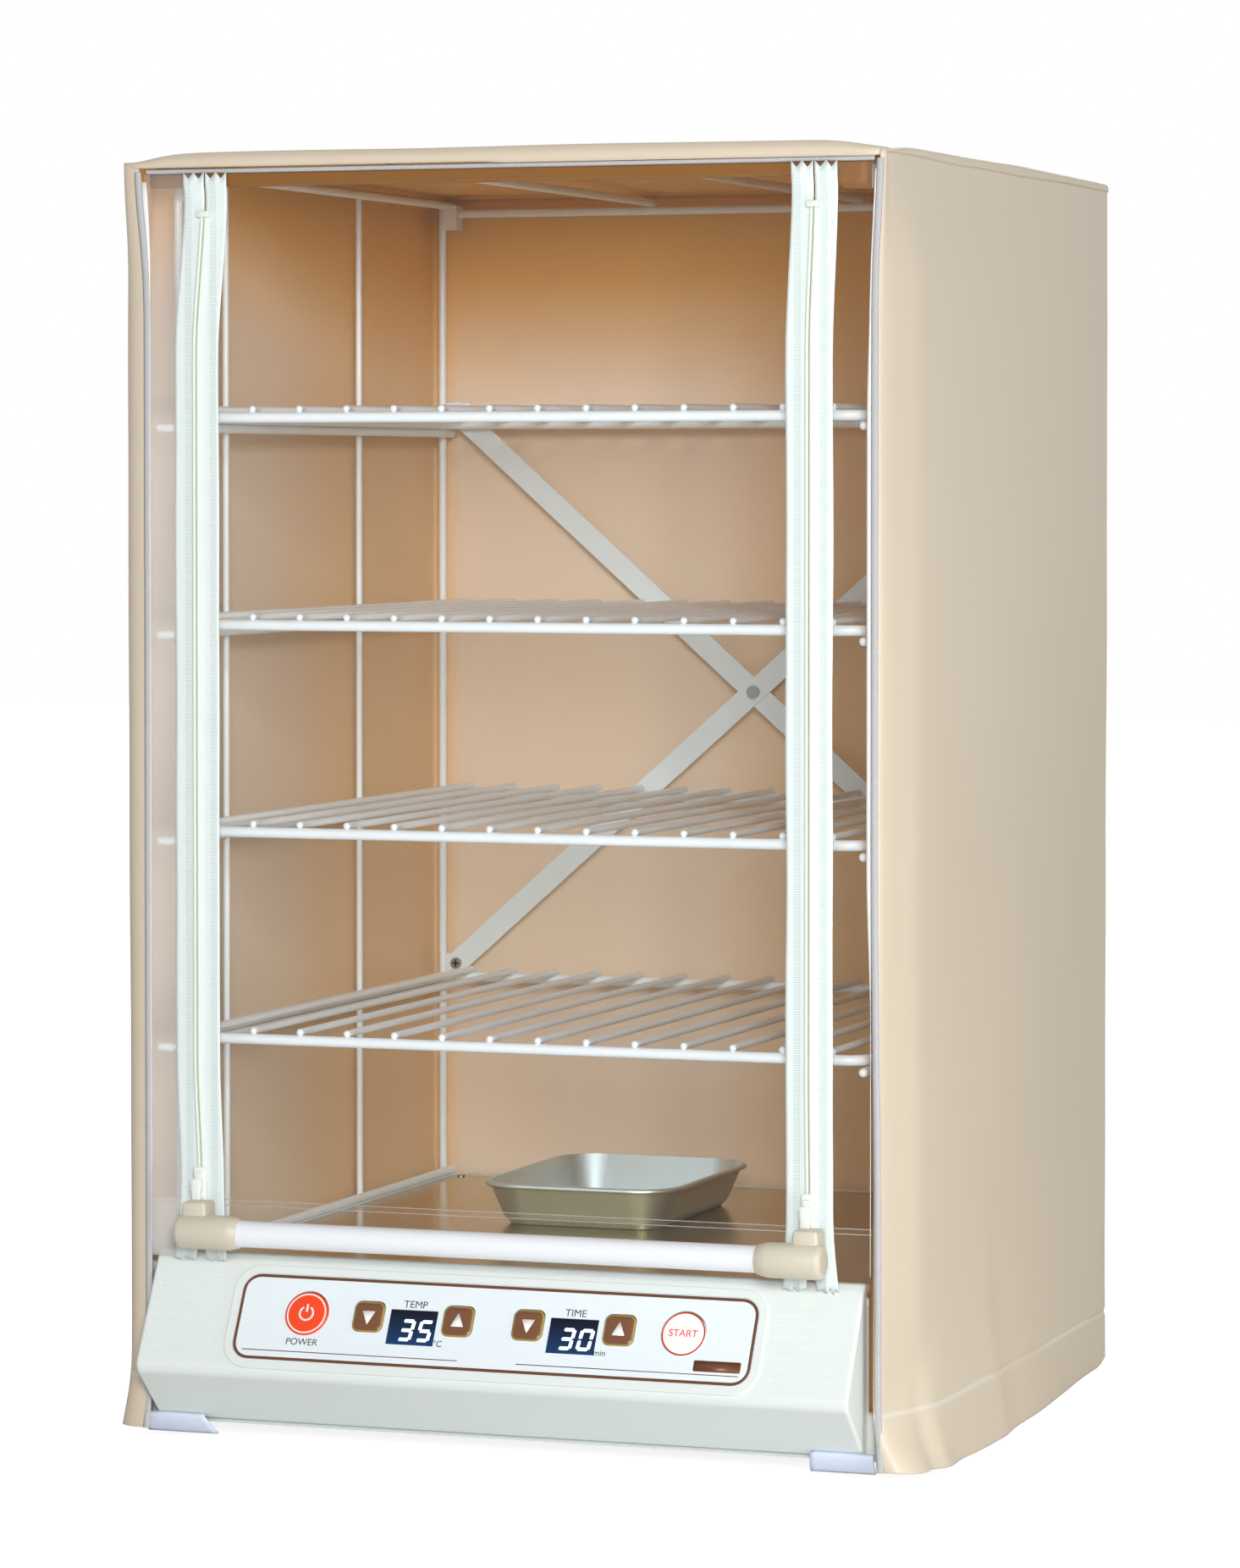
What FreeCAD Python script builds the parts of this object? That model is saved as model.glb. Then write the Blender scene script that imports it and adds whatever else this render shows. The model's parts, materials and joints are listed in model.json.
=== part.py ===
import FreeCAD, Part
import math
import os

# Dough proofer: a heated base, a white wire frame with four wire shelves on it,
# and a sewn vinyl cover over the frame. The front of the cover is clear film with
# two zips, and one lift bar draws both sliders.
# Millimetres. X to the right, -Y to the front, +Z up. The origin is on the floor,
# under the middle of the whole box.

# Clearances shared by all pieces
overrun = 1.0
weld_bite = 0.4
rest_gap = 0.3
slip = 0.1

# Wires of the frame and the shelves
rail_wire = 5.0
post_wire = 4.7
stay_wire = 3.7
rim_wire = 6.0
cross_wire = 4.0

# Shelves
shelf_count = 4
shelf_width = 405.0
shelf_depth = 412.0
shelf_pitch = 114.6
shelf_corner = 12.0
shelf_side_gap = 1.0
cross_wire_count = 14
cross_margin = 20.5

# Bays between the deck, the shelves and the top wires
lowest_bay = 125.0
top_bay = 136.0

# Base
foot_height = 12.0
foot_diameter = 24.0
foot_taper = 2.0
foot_stem = 8.0
foot_inset = 34.0
foot_front_inset = 80.0
base_height = 83.0
base_wall = 2.5
base_gap = 0.8
base_corner = 6.0
rim_thickness = 4.0
socket_wall = 1.4
socket_depth = 22.0
deck_sheet = 1.0
deck_seat = 5.0
deck_edge_gap = 2.0
deck_corner = 6.0

# Screw bosses under the rim
boss_diameter = 9.0
boss_top_wall = 10.0
boss_depth_shares = (0.25, 0.5, 0.75)
screw_shank = 3.0
screw_head = 6.0
screw_head_height = 2.4
rim_thread = 3.4
deck_screw_shank = 2.6
deck_screw_head = 5.0
deck_screw_head_height = 0.8
deck_screw_inset = 7.0

# Cover
cover_sheet = 0.8
cover_side_gap = 3.2
cover_back_gap = 7.0
cover_top_gap = 0.2
cover_corner = 5.0
cover_return = 7.0
lip_drop = 6.0
side_drop = 4.0
hem_height = 4.0
hem_band = 28.0
hem_flare = 8.0
hem_fold_length = 150.0
hem_fade = 110.0
cloth_ease = 0.4
weld_flare_share = 0.55
fade_flare_share = 0.18

# Where the front of the cover stands
shelf_setback = 17.0
post_back_gap = 8.0
front_post_setback = 36.0
rail_lead = 5.0
top_wire_setback = 8.0
stay_shares = (0.16, 0.655)
depth_wire_shares = (-1 / 3, 1 / 3)

# Corner clips of the top grid
clip_width = 9.0
clip_length = 12.0
clip_height = 15.0
clip_post_gap = 0.1

# Brace across the back
brace_width = 13.5
brace_sheet = 1.5
brace_end_rise = 13.0
bracket_width = 16.0
bracket_height = 12.0
brace_screw_shank = 3.0
brace_screw_head = 7.0
brace_screw_head_height = 1.6
rivet_shank = 4.0
rivet_head = 8.0
rivet_head_height = 1.4

# Fascia and its control panel
fascia_inset = 8.0
fascia_reach = 28.0
fascia_top_setback = 5.0
fascia_back_setback = 9.0
fascia_top_rise = 8.0
fascia_ridge_height = 34.0
fascia_bottom_height = 3.0
fascia_wall = 2.5
fascia_ridge_radius = 7.0
fascia_edge_radius = 2.0
fascia_block = 14.0
fascia_block_depth = 8.0
fascia_block_rises = (28.0, 76.0)
groove_count = 8
groove_pitch = 6.0
groove_width = 1.6
groove_depth = 0.4
groove_margin = 5.0
overlay_margin = 28.0
overlay_height = 49.5
overlay_shift = -1.5
overlay_corner = 10.0
overlay_sheet = 0.6
overlay_slip = 0.2
lip_width = 5.0
lip_height = 1.0
lip_round = 0.8
key_row = 1.7
round_key_diameter = 25.0
round_key_gap = 15.25
key_mid_gap = 23.0
key_display_gap = 3.85
square_key_side = 17.5
square_key_corner = 4.0
key_proud = 0.5
key_slip = 0.3
key_flange = 1.2
key_flange_sheet = 1.0
key_flange_gap = 0.2
key_travel = 0.6
display_width = 27.0
display_height = 19.5
display_drop = 5.0
display_sink = 0.1

# Boards
board_depth = 8.0
board_sheet = 1.6
board_end_gap = 14.5
board_height = 40.0
board_boss = 7.0
board_boss_inset = 5.0
switch_side = 6.0
board_screw_shank = 2.2
board_screw_head = 5.0
board_screw_head_height = 1.6
board_screw_bite = 4.0
power_board_width = 150.0
power_board_depth = 70.0
power_board_rise = 8.0
power_board_x = -60.0
power_board_front_gap = 12.0
transformer_size = (42.0, 36.0, 32.0)
transformer_shift = -42.0
relay_size = (20.0, 16.0, 16.0)
relay_shift = 30.0
ribbon_width = 20.0
ribbon_sheet = 1.0
ribbon_x = -55.0
ribbon_slot_height = 10.0
ribbon_slot_gap = 3.0
ribbon_slot_rise = 54.0

# Heater under the deck
heater_tube = 6.5
heater_runs = 4
heater_run_pitch = 80.0
heater_front_gap = 50.0
heater_back_gap = 10.0
strap_width = 14.0
strap_sheet = 1.5
strap_leg = 3.0
strap_margin = 10.0
strap_shares = (0.15, 0.5, 0.85)
probe_shares = (0.325, 0.675)
cutout_diameter = 16.0
cutout_height = 10.0
sensor_diameter = 5.0
sensor_length = 22.0
pad_thickness = 12.0
pad_margin = 8.0

# Cord bushing
bushing_flange = 18.0
bushing_flange_thickness = 3.0
bushing_neck = 13.0
bushing_bore = 7.5
bushing_rise = 24.0
bushing_x = 120.0

# Clear film, zips and lift bar
film_sheet = 0.5
binding_width = 5.6
binding_sheet = 1.2
binding_inset = 2.4
zip_inset = 41.0
tape_width = 12.6
tape_sheet = 0.7
tape_gap = 0.8
coil_size = 2.0
film_seam = 5.0
tape_clear = 1.0
window_drop = 4.0
sill_height = 26.0
sill_behind = 0.6
stop_width = 7.0
stop_height = 3.0
stop_drop = 18.0
bar_reach = 18.0
bar_rise = 14.0
bar_diameter = 14.5
bar_wall = 1.2
cap_diameter = 19.0
cap_length = 37.0
cap_overhang = 10.0
cap_taper_length = 6.0
cap_socket = 15.0
cap_tab_width = 15.0
cap_tab_rise = 19.0
cap_tab_depth = 15.0
cap_tab_forward = 3.0
slider_rise = 25.0
slider_width = 8.0
slider_length = 22.0
slider_plate = 1.5
slider_lug = 4.0
pull_width = 5.0
pull_sheet = 1.6
pull_bite = 6.0
hold_tab_length = 35.0
hold_tab_sheet = 1.2
hold_tab_rise = 1.0

# Water tray
tray_bottom_width = 100.0
tray_bottom_length = 140.0
tray_height = 25.0
tray_flare = 9.0
tray_foot_round = 4.0
tray_corner = 16.0
tray_sheet = 0.8
tray_rim = 3.0
tray_x = -37.0
tray_back_gap = 60.0

# Places worked out from the sizes above, from the middle outwards
side_wire_x = (shelf_width - rim_wire) / 2
rail_x = shelf_width / 2 + shelf_side_gap - rail_wire / 2
post_x = rail_x + (rail_wire + post_wire) / 2
stay_x = rail_x + (rail_wire + stay_wire) / 2
post_to_base = post_wire / 2 + slip + socket_wall + base_gap + base_wall
base_half = post_x + post_to_base
cover_half = base_half + cover_side_gap + cover_sheet
fascia_half = base_half - fascia_inset
zip_x = cover_half - zip_inset

# Front to back
cover_depth = (shelf_setback + shelf_depth + post_back_gap + post_to_base
               + cover_back_gap + cover_sheet)
cover_back_y = (cover_depth + fascia_reach) / 2
cover_front_y = cover_back_y - cover_depth
shelf_front_y = cover_front_y + shelf_setback
shelf_back_y = shelf_front_y + shelf_depth
front_post_y = cover_front_y + front_post_setback
back_post_y = shelf_back_y + post_back_gap
base_front_y = cover_front_y + fascia_back_setback
base_back_y = back_post_y + post_to_base
base_mid_y = (base_front_y + base_back_y) / 2

# Floor to top
pan_top_z = foot_height + base_height
deck_z = pan_top_z + rim_thickness
lowest_shelf_z = deck_z + lowest_bay
top_shelf_z = lowest_shelf_z + (shelf_count - 1) * shelf_pitch
top_wire_z = top_shelf_z + top_bay
cover_top_z = top_wire_z + rail_wire / 2 + cover_top_gap + cover_sheet
rail_reach = (rim_wire + rail_wire) / 2 + rest_gap
rail_drop = math.sqrt(rail_reach ** 2 - (rail_x - side_wire_x) ** 2)
shelf_zs = [top_shelf_z - row * shelf_pitch for row in range(shelf_count)]

# Fascia outline and the frame of the control panel on its slope
fascia_top_y = cover_front_y + fascia_top_setback
fascia_top_z = deck_z + fascia_top_rise
ridge_y = cover_front_y - fascia_reach
ridge_z = foot_height + fascia_ridge_height
fascia_bottom_z = foot_height + fascia_bottom_height
slope_angle = math.degrees(math.atan2(fascia_top_z - ridge_z, fascia_top_y - ridge_y))
slope_ratio = (fascia_top_y - ridge_y) / (fascia_top_z - ridge_z)
panel_y = (fascia_top_y + ridge_y) / 2
panel_z = (fascia_top_z + ridge_z) / 2
board_back = -board_depth - board_sheet
inner_key_x = (key_mid_gap + square_key_side) / 2
key_to_display = (square_key_side + display_width) / 2 + key_display_gap
display_x = inner_key_x + key_to_display
outer_key_x = display_x + key_to_display
round_key_x = outer_key_x + (square_key_side + round_key_diameter) / 2 + round_key_gap
overlay_width = round_key_x * 2 + round_key_diameter + overlay_margin * 2
board_width = overlay_width - board_end_gap * 2

# Front of the cover
binding_top_z = cover_top_z - lip_drop
binding_bottom_z = binding_top_z - binding_width
film_top_z = binding_bottom_z - rest_gap
film_side_x = cover_half - cover_return
tape_bottom_z = fascia_top_z - (fascia_top_setback - tape_clear) / slope_ratio
sill_setback = sill_behind + film_sheet * 2 + tape_clear + lip_height
sill_bottom_z = fascia_top_z - (fascia_top_setback - sill_setback) / slope_ratio
bar_y = cover_front_y - bar_reach
bar_z = fascia_top_z + bar_rise
cap_outer_x = zip_x + cap_overhang
cap_inner_x = cap_outer_x - cap_length
slider_z = bar_z + slider_rise
coil_front_y = cover_front_y - tape_sheet - coil_size


def box(x0, x1, y0, y1, z0, z1):
    corner = FreeCAD.Vector(x0, y0, z0)
    return Part.makeBox(x1 - x0, y1 - y0, z1 - z0, corner)


def rod(start, end, diameter):
    start = FreeCAD.Vector(*start)
    way = FreeCAD.Vector(*end) - start
    return Part.makeCylinder(diameter / 2, way.Length, start, way)


def ball(centre, diameter):
    return Part.makeSphere(diameter / 2, FreeCAD.Vector(*centre))


def fuse(shapes):
    shapes = list(shapes)
    return shapes[0].multiFuse(shapes[1:]).removeSplitter()


def group(shapes):
    return Part.makeCompound(list(shapes))


def mirrored(shape):
    return shape.mirror(FreeCAD.Vector(0, 0, 0), FreeCAD.Vector(1, 0, 0))


def pair(shape):
    return group([mirrored(shape), shape])


def polygon_prism(points, length, way):
    corners = [FreeCAD.Vector(*point) for point in points]
    face = Part.Face(Part.makePolygon(corners + corners[:1]))
    return face.extrude(FreeCAD.Vector(*way) * length)


def rounded_outline(width, height, radius, z):
    half_w = width / 2
    half_h = height / 2
    edges = []
    signs = ((1, 1), (-1, 1), (-1, -1), (1, -1))
    cut = radius * (1 - math.sqrt(0.5))
    for turn, (sx, sy) in enumerate(signs):
        side = FreeCAD.Vector(sx * half_w, sy * (half_h - radius), z)
        middle = FreeCAD.Vector(sx * (half_w - cut), sy * (half_h - cut), z)
        level = FreeCAD.Vector(sx * (half_w - radius), sy * half_h, z)
        ends = (side, level) if turn % 2 == 0 else (level, side)
        if edges:
            edges.append(Part.LineSegment(edges[-1].EndPoint, ends[0]))
        edges.append(Part.Arc(ends[0], middle, ends[1]))
    edges.append(Part.LineSegment(edges[-1].EndPoint, edges[0].StartPoint))
    return Part.Wire([edge.toShape() for edge in edges])


def rounded_plate(width, height, radius, z0, z1):
    face = Part.Face(rounded_outline(width, height, radius, z0))
    return face.extrude(FreeCAD.Vector(0, 0, z1 - z0))


def moved(shape, x, y, z):
    shape = shape.copy()
    shape.translate(FreeCAD.Vector(x, y, z))
    return shape


def on_panel(shape, x=0.0, up=0.0):
    shape = moved(shape, x, up, 0)
    turn = FreeCAD.Rotation(FreeCAD.Vector(1, 0, 0), slope_angle)
    place = FreeCAD.Placement(FreeCAD.Vector(0, panel_y, panel_z), turn)
    return shape.transformed(place.toMatrix())


def swept_ring(outline, diameter):
    first = outline.Edges[0]
    start = first.valueAt(first.FirstParameter)
    way = first.tangentAt(first.FirstParameter)
    circle = Part.Wire(Part.makeCircle(diameter / 2, start, way))
    return outline.makePipeShell([circle], True, False)


def edges_at(shape, test):
    return [edge for edge in shape.Edges if test(edge)]


# Base

def boss_places():
    x = base_half - base_wall - boss_diameter / 2 + weld_bite
    for share in boss_depth_shares:
        y = base_front_y + share * (base_back_y - base_front_y)
        yield -x, y
        yield x, y


def foot_places():
    for x in (-base_half + foot_inset, base_half - foot_inset):
        for y in (base_front_y + foot_front_inset, base_back_y - foot_inset):
            yield x, y


def post_places():
    for x in (-post_x, post_x):
        for y in (front_post_y, back_post_y):
            yield x, y


def fascia_screw_places():
    x = fascia_half - fascia_wall - fascia_block / 2
    for rise in fascia_block_rises:
        yield -x, foot_height + rise
        yield x, foot_height + rise


def power_board_places():
    mid_y = base_front_y + base_wall + power_board_front_gap + power_board_depth / 2
    for x in (-1, 1):
        for y in (-1, 1):
            yield (power_board_x + x * (power_board_width / 2 - board_boss_inset),
                   mid_y + y * (power_board_depth / 2 - board_boss_inset))


def base_pan():
    depth = base_back_y - base_front_y
    floor_z = foot_height + base_wall
    pan = rounded_plate(base_half * 2, depth, base_corner, foot_height, pan_top_z)
    room = rounded_plate((base_half - base_wall) * 2, depth - base_wall * 2,
                         base_corner - base_wall, floor_z, pan_top_z + overrun)
    pan = moved(pan.cut(room), 0, base_mid_y, 0)
    posts = [rod((x, y, floor_z - weld_bite), (x, y, pan_top_z), boss_diameter) for x, y in boss_places()]
    board_top = floor_z + power_board_rise
    posts += [rod((x, y, floor_z - weld_bite), (x, y, board_top), board_boss)
              for x, y in power_board_places()]
    pan = fuse([pan] + posts)
    cuts = []
    for x, y in boss_places():
        head_z = pan_top_z - boss_top_wall
        cuts.append(rod((x, y, foot_height - overrun), (x, y, head_z), screw_head + slip * 2))
        cuts.append(rod((x, y, head_z - overrun), (x, y, pan_top_z + overrun), screw_shank))
    for x, y in power_board_places():
        cuts.append(rod((x, y, board_top - board_screw_bite), (x, y, board_top + overrun), board_screw_shank))
    for x, y in foot_places():
        cuts.append(rod((x, y, foot_height - overrun), (x, y, floor_z + overrun), foot_stem))
    for x, z in fascia_screw_places():
        inner_y = base_front_y + base_wall
        cuts.append(rod((x, base_front_y - overrun, z), (x, inner_y + overrun, z), screw_shank))
    bushing_z = foot_height + bushing_rise
    cuts.append(rod((bushing_x, base_back_y - base_wall - overrun, bushing_z),
                    (bushing_x, base_back_y + overrun, bushing_z), bushing_neck))
    slot_half = ribbon_width / 2 + ribbon_slot_gap
    slot_z = foot_height + ribbon_slot_rise
    cuts.append(box(ribbon_x - slot_half, ribbon_x + slot_half,
                    base_front_y - overrun, base_front_y + base_wall + overrun,
                    slot_z - ribbon_slot_height / 2, slot_z + ribbon_slot_height / 2))
    return pan.cut(group(cuts))


def deck_half_width():
    return rail_x - rail_wire / 2 - deck_edge_gap


def deck_span():
    front = base_front_y + base_wall + deck_seat
    back = back_post_y - post_wire / 2 - deck_edge_gap
    return front, back


def deck_screw_places():
    front, back = deck_span()
    for x in (-1, 1):
        for y in (front + deck_screw_inset, back - deck_screw_inset):
            yield x * (deck_half_width() - deck_screw_inset), y


def base_rim():
    depth = base_back_y - base_front_y
    front, back = deck_span()
    deck_mid = (front + back) / 2
    window = rounded_plate((deck_half_width() - deck_seat) * 2, back - front - deck_seat * 2,
                           deck_corner, pan_top_z - overrun, deck_z + overrun)
    seat = rounded_plate((deck_half_width() + slip) * 2, back - front + slip * 2,
                         deck_corner + slip, deck_z - deck_sheet, deck_z + overrun)
    rim = rounded_plate(base_half * 2, depth, base_corner, pan_top_z, deck_z)
    rim = moved(rim, 0, base_mid_y, 0)
    rim = rim.cut(moved(window, 0, deck_mid, 0)).cut(moved(seat, 0, deck_mid, 0))
    lugs = []
    for x, y in deck_screw_places():
        lug = rod((x, y, pan_top_z), (x, y, deck_z - deck_sheet), deck_screw_inset * 2)
        lugs.append(lug)
    socket_diameter = post_wire + (slip + socket_wall) * 2
    for x, y in post_places():
        lugs.append(rod((x, y, deck_z - socket_depth), (x, y, deck_z - weld_bite), socket_diameter))
    rim = fuse([rim] + lugs)
    cuts = []
    for x, y in post_places():
        floor_z = deck_z - socket_depth + socket_wall
        cuts.append(rod((x, y, floor_z), (x, y, deck_z + overrun), post_wire + slip * 2))
    for x, y in boss_places():
        cuts.append(rod((x, y, pan_top_z - overrun), (x, y, pan_top_z + rim_thread), screw_shank))
    for x, y in deck_screw_places():
        cuts.append(rod((x, y, pan_top_z - overrun), (x, y, deck_z + overrun), deck_screw_shank))
    return rim.cut(group(cuts))


def deck_plate():
    front, back = deck_span()
    deck = rounded_plate(deck_half_width() * 2, back - front, deck_corner, deck_z - deck_sheet, deck_z)
    deck = moved(deck, 0, (front + back) / 2, 0)
    holes = [rod((x, y, deck_z - deck_sheet - overrun), (x, y, deck_z + overrun), deck_screw_shank)
             for x, y in deck_screw_places()]
    return deck.cut(group(holes))


def deck_screws():
    screws = []
    for x, y in deck_screw_places():
        shank = rod((x, y, pan_top_z), (x, y, deck_z), deck_screw_shank)
        head = rod((x, y, deck_z), (x, y, deck_z + deck_screw_head_height), deck_screw_head)
        screws.append(fuse([shank, head]))
    return group(screws)


def base_screws():
    screws = []
    head_z = pan_top_z - boss_top_wall
    for x, y in boss_places():
        head = rod((x, y, head_z - screw_head_height), (x, y, head_z), screw_head)
        shank = rod((x, y, head_z), (x, y, pan_top_z + rim_thread), screw_shank)
        screws.append(fuse([head, shank]))
    return group(screws)


def rubber_feet():
    feet = []
    for x, y in foot_places():
        ground = FreeCAD.Vector(x, y, 0)
        pad = Part.makeCone(foot_diameter / 2 - foot_taper, foot_diameter / 2, foot_height, ground)
        stem = rod((x, y, foot_height), (x, y, foot_height + base_wall), foot_stem)
        feet.append(fuse([pad, stem]))
    return group(feet)


def cord_bushing():
    z = foot_height + bushing_rise
    y0 = base_back_y - base_wall
    y1 = base_back_y + bushing_flange_thickness
    flange = rod((bushing_x, base_back_y, z), (bushing_x, y1, z), bushing_flange)
    neck = rod((bushing_x, y0, z), (bushing_x, base_back_y, z), bushing_neck)
    collar = rod((bushing_x, y0 - bushing_flange_thickness, z), (bushing_x, y0, z), bushing_flange)
    bore = rod((bushing_x, y0 - bushing_flange_thickness - overrun, z),
               (bushing_x, y1 + overrun, z), bushing_bore)
    return fuse([flange, neck, collar]).cut(bore)


# Heater

def heater_z():
    return deck_z - deck_sheet - rest_gap - heater_tube / 2


def heater_span():
    front, back = deck_span()
    bend = (heater_run_pitch + heater_tube) / 2
    return front + deck_seat + heater_front_gap + bend, back - deck_seat - heater_back_gap - bend


def heater_element():
    z = heater_z()
    front, back = heater_span()
    half = (back - front) / 2
    mid = (front + back) / 2
    edges = []
    xs = [(run - (heater_runs - 1) / 2) * heater_run_pitch for run in range(heater_runs)]
    for run, x in enumerate(xs):
        way = 1 if run % 2 == 0 else -1
        start = FreeCAD.Vector(x, mid - way * half, z)
        end = FreeCAD.Vector(x, mid + way * half, z)
        edges.append(Part.LineSegment(start, end).toShape())
        if run + 1 < heater_runs:
            bend = FreeCAD.Vector(x + heater_run_pitch / 2, mid + way * (half + heater_run_pitch / 2), z)
            after = FreeCAD.Vector(x + heater_run_pitch, mid + way * half, z)
            edges.append(Part.Arc(end, bend, after).toShape())
    path = Part.Wire(edges)
    start = FreeCAD.Vector(xs[0], mid - half, z)
    circle = Part.Wire(Part.makeCircle(heater_tube / 2, start, FreeCAD.Vector(0, 1, 0)))
    return path.makePipeShell([circle], True, False)


def heater_straps():
    straps = []
    half = (heater_runs - 1) / 2 * heater_run_pitch + heater_tube / 2 + strap_margin
    top = heater_z() - heater_tube / 2 - rest_gap
    under_deck = deck_z - deck_sheet
    front, back = heater_span()
    for share in strap_shares:
        y = front + share * (back - front)
        y0 = y - strap_width / 2
        y1 = y + strap_width / 2
        bar = box(-half, half, y0, y1, top - strap_sheet, top)
        legs = [box(x, x + strap_leg, y0, y1, top - strap_sheet, under_deck)
                for x in (-half - strap_leg, half)]
        straps.append(fuse([bar] + legs))
    return group(straps)


def thermal_cutout():
    top = deck_z - deck_sheet
    x = heater_run_pitch
    front, back = heater_span()
    y = front + probe_shares[1] * (back - front)
    return rod((x, y, top - cutout_height), (x, y, top), cutout_diameter)


def temperature_sensor():
    top = deck_z - deck_sheet
    z = top - sensor_diameter / 2 - rest_gap
    x = -heater_run_pitch
    front, back = heater_span()
    y = front + probe_shares[0] * (back - front)
    return rod((x, y - sensor_length / 2, z), (x, y + sensor_length / 2, z), sensor_diameter)


def insulation_pad():
    half = base_half - base_wall - boss_diameter - pad_margin
    front = base_front_y + base_wall + power_board_front_gap + power_board_depth + pad_margin
    back = base_back_y - base_wall - bushing_flange_thickness - pad_margin
    floor_z = foot_height + base_wall
    pad = box(-half, half, front, back, floor_z, floor_z + pad_thickness)
    holes = [rod((x, y, floor_z - overrun), (x, y, floor_z + pad_thickness + overrun), foot_diameter)
             for x, y in foot_places()]
    return pad.cut(group(holes))


# Fascia and controls

def fascia_outline(wall):
    run = fascia_top_y - ridge_y
    rise = fascia_top_z - ridge_z
    drop = ridge_z - fascia_bottom_z
    slope_in = wall * math.hypot(run, rise) / rise
    under_in = wall * math.hypot(run, drop) / run
    top_z = fascia_top_z if wall == 0 else deck_z - wall
    front_top_y = fascia_top_y - (fascia_top_z - top_z) * slope_ratio + slope_in
    under_ratio = drop / run
    inner_ridge_y = ridge_y + (slope_in + under_in * slope_ratio) / (1 + under_ratio * slope_ratio)
    inner_ridge_z = ridge_z - under_ratio * (inner_ridge_y - ridge_y) + under_in
    bottom_y = fascia_top_y
    bottom_z = fascia_bottom_z + under_in
    return [(base_front_y, top_z), (front_top_y, top_z), (inner_ridge_y, inner_ridge_z),
            (bottom_y, bottom_z), (base_front_y, bottom_z)]


def fascia_body():
    points = [(-fascia_half, y, z) for y, z in fascia_outline(0)]
    body = polygon_prism(points, fascia_half * 2, (1, 0, 0))

    def along_ridge(edge):
        middle = edge.CenterOfMass
        return abs(middle.y - ridge_y) < slip and abs(middle.z - ridge_z) < slip

    def soft_edge(edge):
        middle = edge.CenterOfMass
        return middle.y < base_front_y - slip

    body = body.makeFillet(fascia_ridge_radius, edges_at(body, along_ridge))
    return body.makeFillet(fascia_edge_radius, edges_at(body, soft_edge))


def key_places():
    yield "power_button", -round_key_x
    yield "temp_down_button", -outer_key_x
    yield "temp_up_button", -inner_key_x
    yield "time_down_button", inner_key_x
    yield "time_up_button", outer_key_x
    yield "start_button", round_key_x


def key_prism(name, grow, z0, z1):
    if name in ("power_button", "start_button"):
        return rod((0, 0, z0), (0, 0, z1), round_key_diameter + grow * 2)
    side = square_key_side + grow * 2
    return rounded_plate(side, side, square_key_corner + grow, z0, z1)


def display_prism(grow, z0, z1):
    return box(-display_width / 2 - grow, display_width / 2 + grow,
               -display_height / 2 - grow, display_height / 2 + grow, z0, z1)


def panel_openings(grow):
    low = -fascia_wall - overrun
    high = lip_height + overrun
    shapes = [on_panel(key_prism(name, grow, low, high), x, key_row) for name, x in key_places()]
    for x in (-display_x, display_x):
        shapes.append(on_panel(display_prism(grow, low, high), x, key_row - display_drop))
    return group(shapes)


def board_boss_places():
    for x in (-1, 1):
        for up in (-1, 1):
            yield (x * (board_width / 2 - board_boss_inset), up * (board_height / 2 - board_boss_inset))


def fascia():
    shell = fascia_body()
    room_half = fascia_half - fascia_wall
    points = [(-room_half, y, z) for y, z in fascia_outline(fascia_wall)]
    points[0] = (-room_half, base_front_y + overrun, points[0][2])
    points[-1] = (-room_half, base_front_y + overrun, points[-1][2])
    shell = shell.cut(polygon_prism(points, room_half * 2, (1, 0, 0)))
    added = []
    lip = rounded_plate(overlay_width + (overlay_slip + lip_width) * 2,
                        overlay_height + (overlay_slip + lip_width) * 2,
                        overlay_corner + overlay_slip + lip_width, -weld_bite, lip_height)
    top_edges = edges_at(lip, lambda edge: edge.BoundBox.ZMin > lip_height - slip)
    lip = lip.makeFillet(lip_round, top_edges)
    pocket = rounded_plate(overlay_width + overlay_slip * 2, overlay_height + overlay_slip * 2,
                           overlay_corner + overlay_slip, -weld_bite - overrun, lip_height + overrun)
    added.append(on_panel(lip.cut(pocket), 0, overlay_shift))
    for x, up in board_boss_places():
        added.append(on_panel(rod((0, 0, -board_depth), (0, 0, -fascia_wall + weld_bite), board_boss), x, up))
    for x, z in fascia_screw_places():
        side = 1 if x > 0 else -1
        wall_x = side * (fascia_half - fascia_wall + weld_bite)
        far_x = side * (fascia_half - fascia_wall - fascia_block)
        ends = sorted((wall_x, far_x))
        added.append(box(ends[0], ends[1], base_front_y - fascia_block_depth, base_front_y,
                         z - fascia_block / 2 + fascia_wall, z + fascia_block / 2 - fascia_wall))
    shell = fuse([shell] + added)
    cuts = [panel_openings(key_slip)]
    groove_end = fascia_half - groove_margin
    groove_start = overlay_width / 2 + overlay_slip + lip_width + groove_margin
    for row in range(groove_count):
        up = (row - (groove_count - 1) / 2) * groove_pitch
        for side in (-1, 1):
            ends = sorted((side * groove_start, side * groove_end))
            cuts.append(on_panel(box(ends[0], ends[1], up - groove_width / 2, up + groove_width / 2,
                                     -groove_depth, overrun)))
    for x, up in board_boss_places():
        cuts.append(on_panel(rod((0, 0, -board_depth - overrun), (0, 0, -board_depth + board_screw_bite),
                                 board_screw_shank), x, up))
    for x, z in fascia_screw_places():
        cuts.append(rod((x, base_front_y - fascia_block_depth + fascia_wall, z),
                        (x, base_front_y + overrun, z), screw_shank))
    return shell.cut(group(cuts))


def panel_overlay():
    sheet = rounded_plate(overlay_width, overlay_height, overlay_corner, 0, overlay_sheet)
    return on_panel(sheet, 0, overlay_shift).cut(panel_openings(key_slip))


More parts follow.
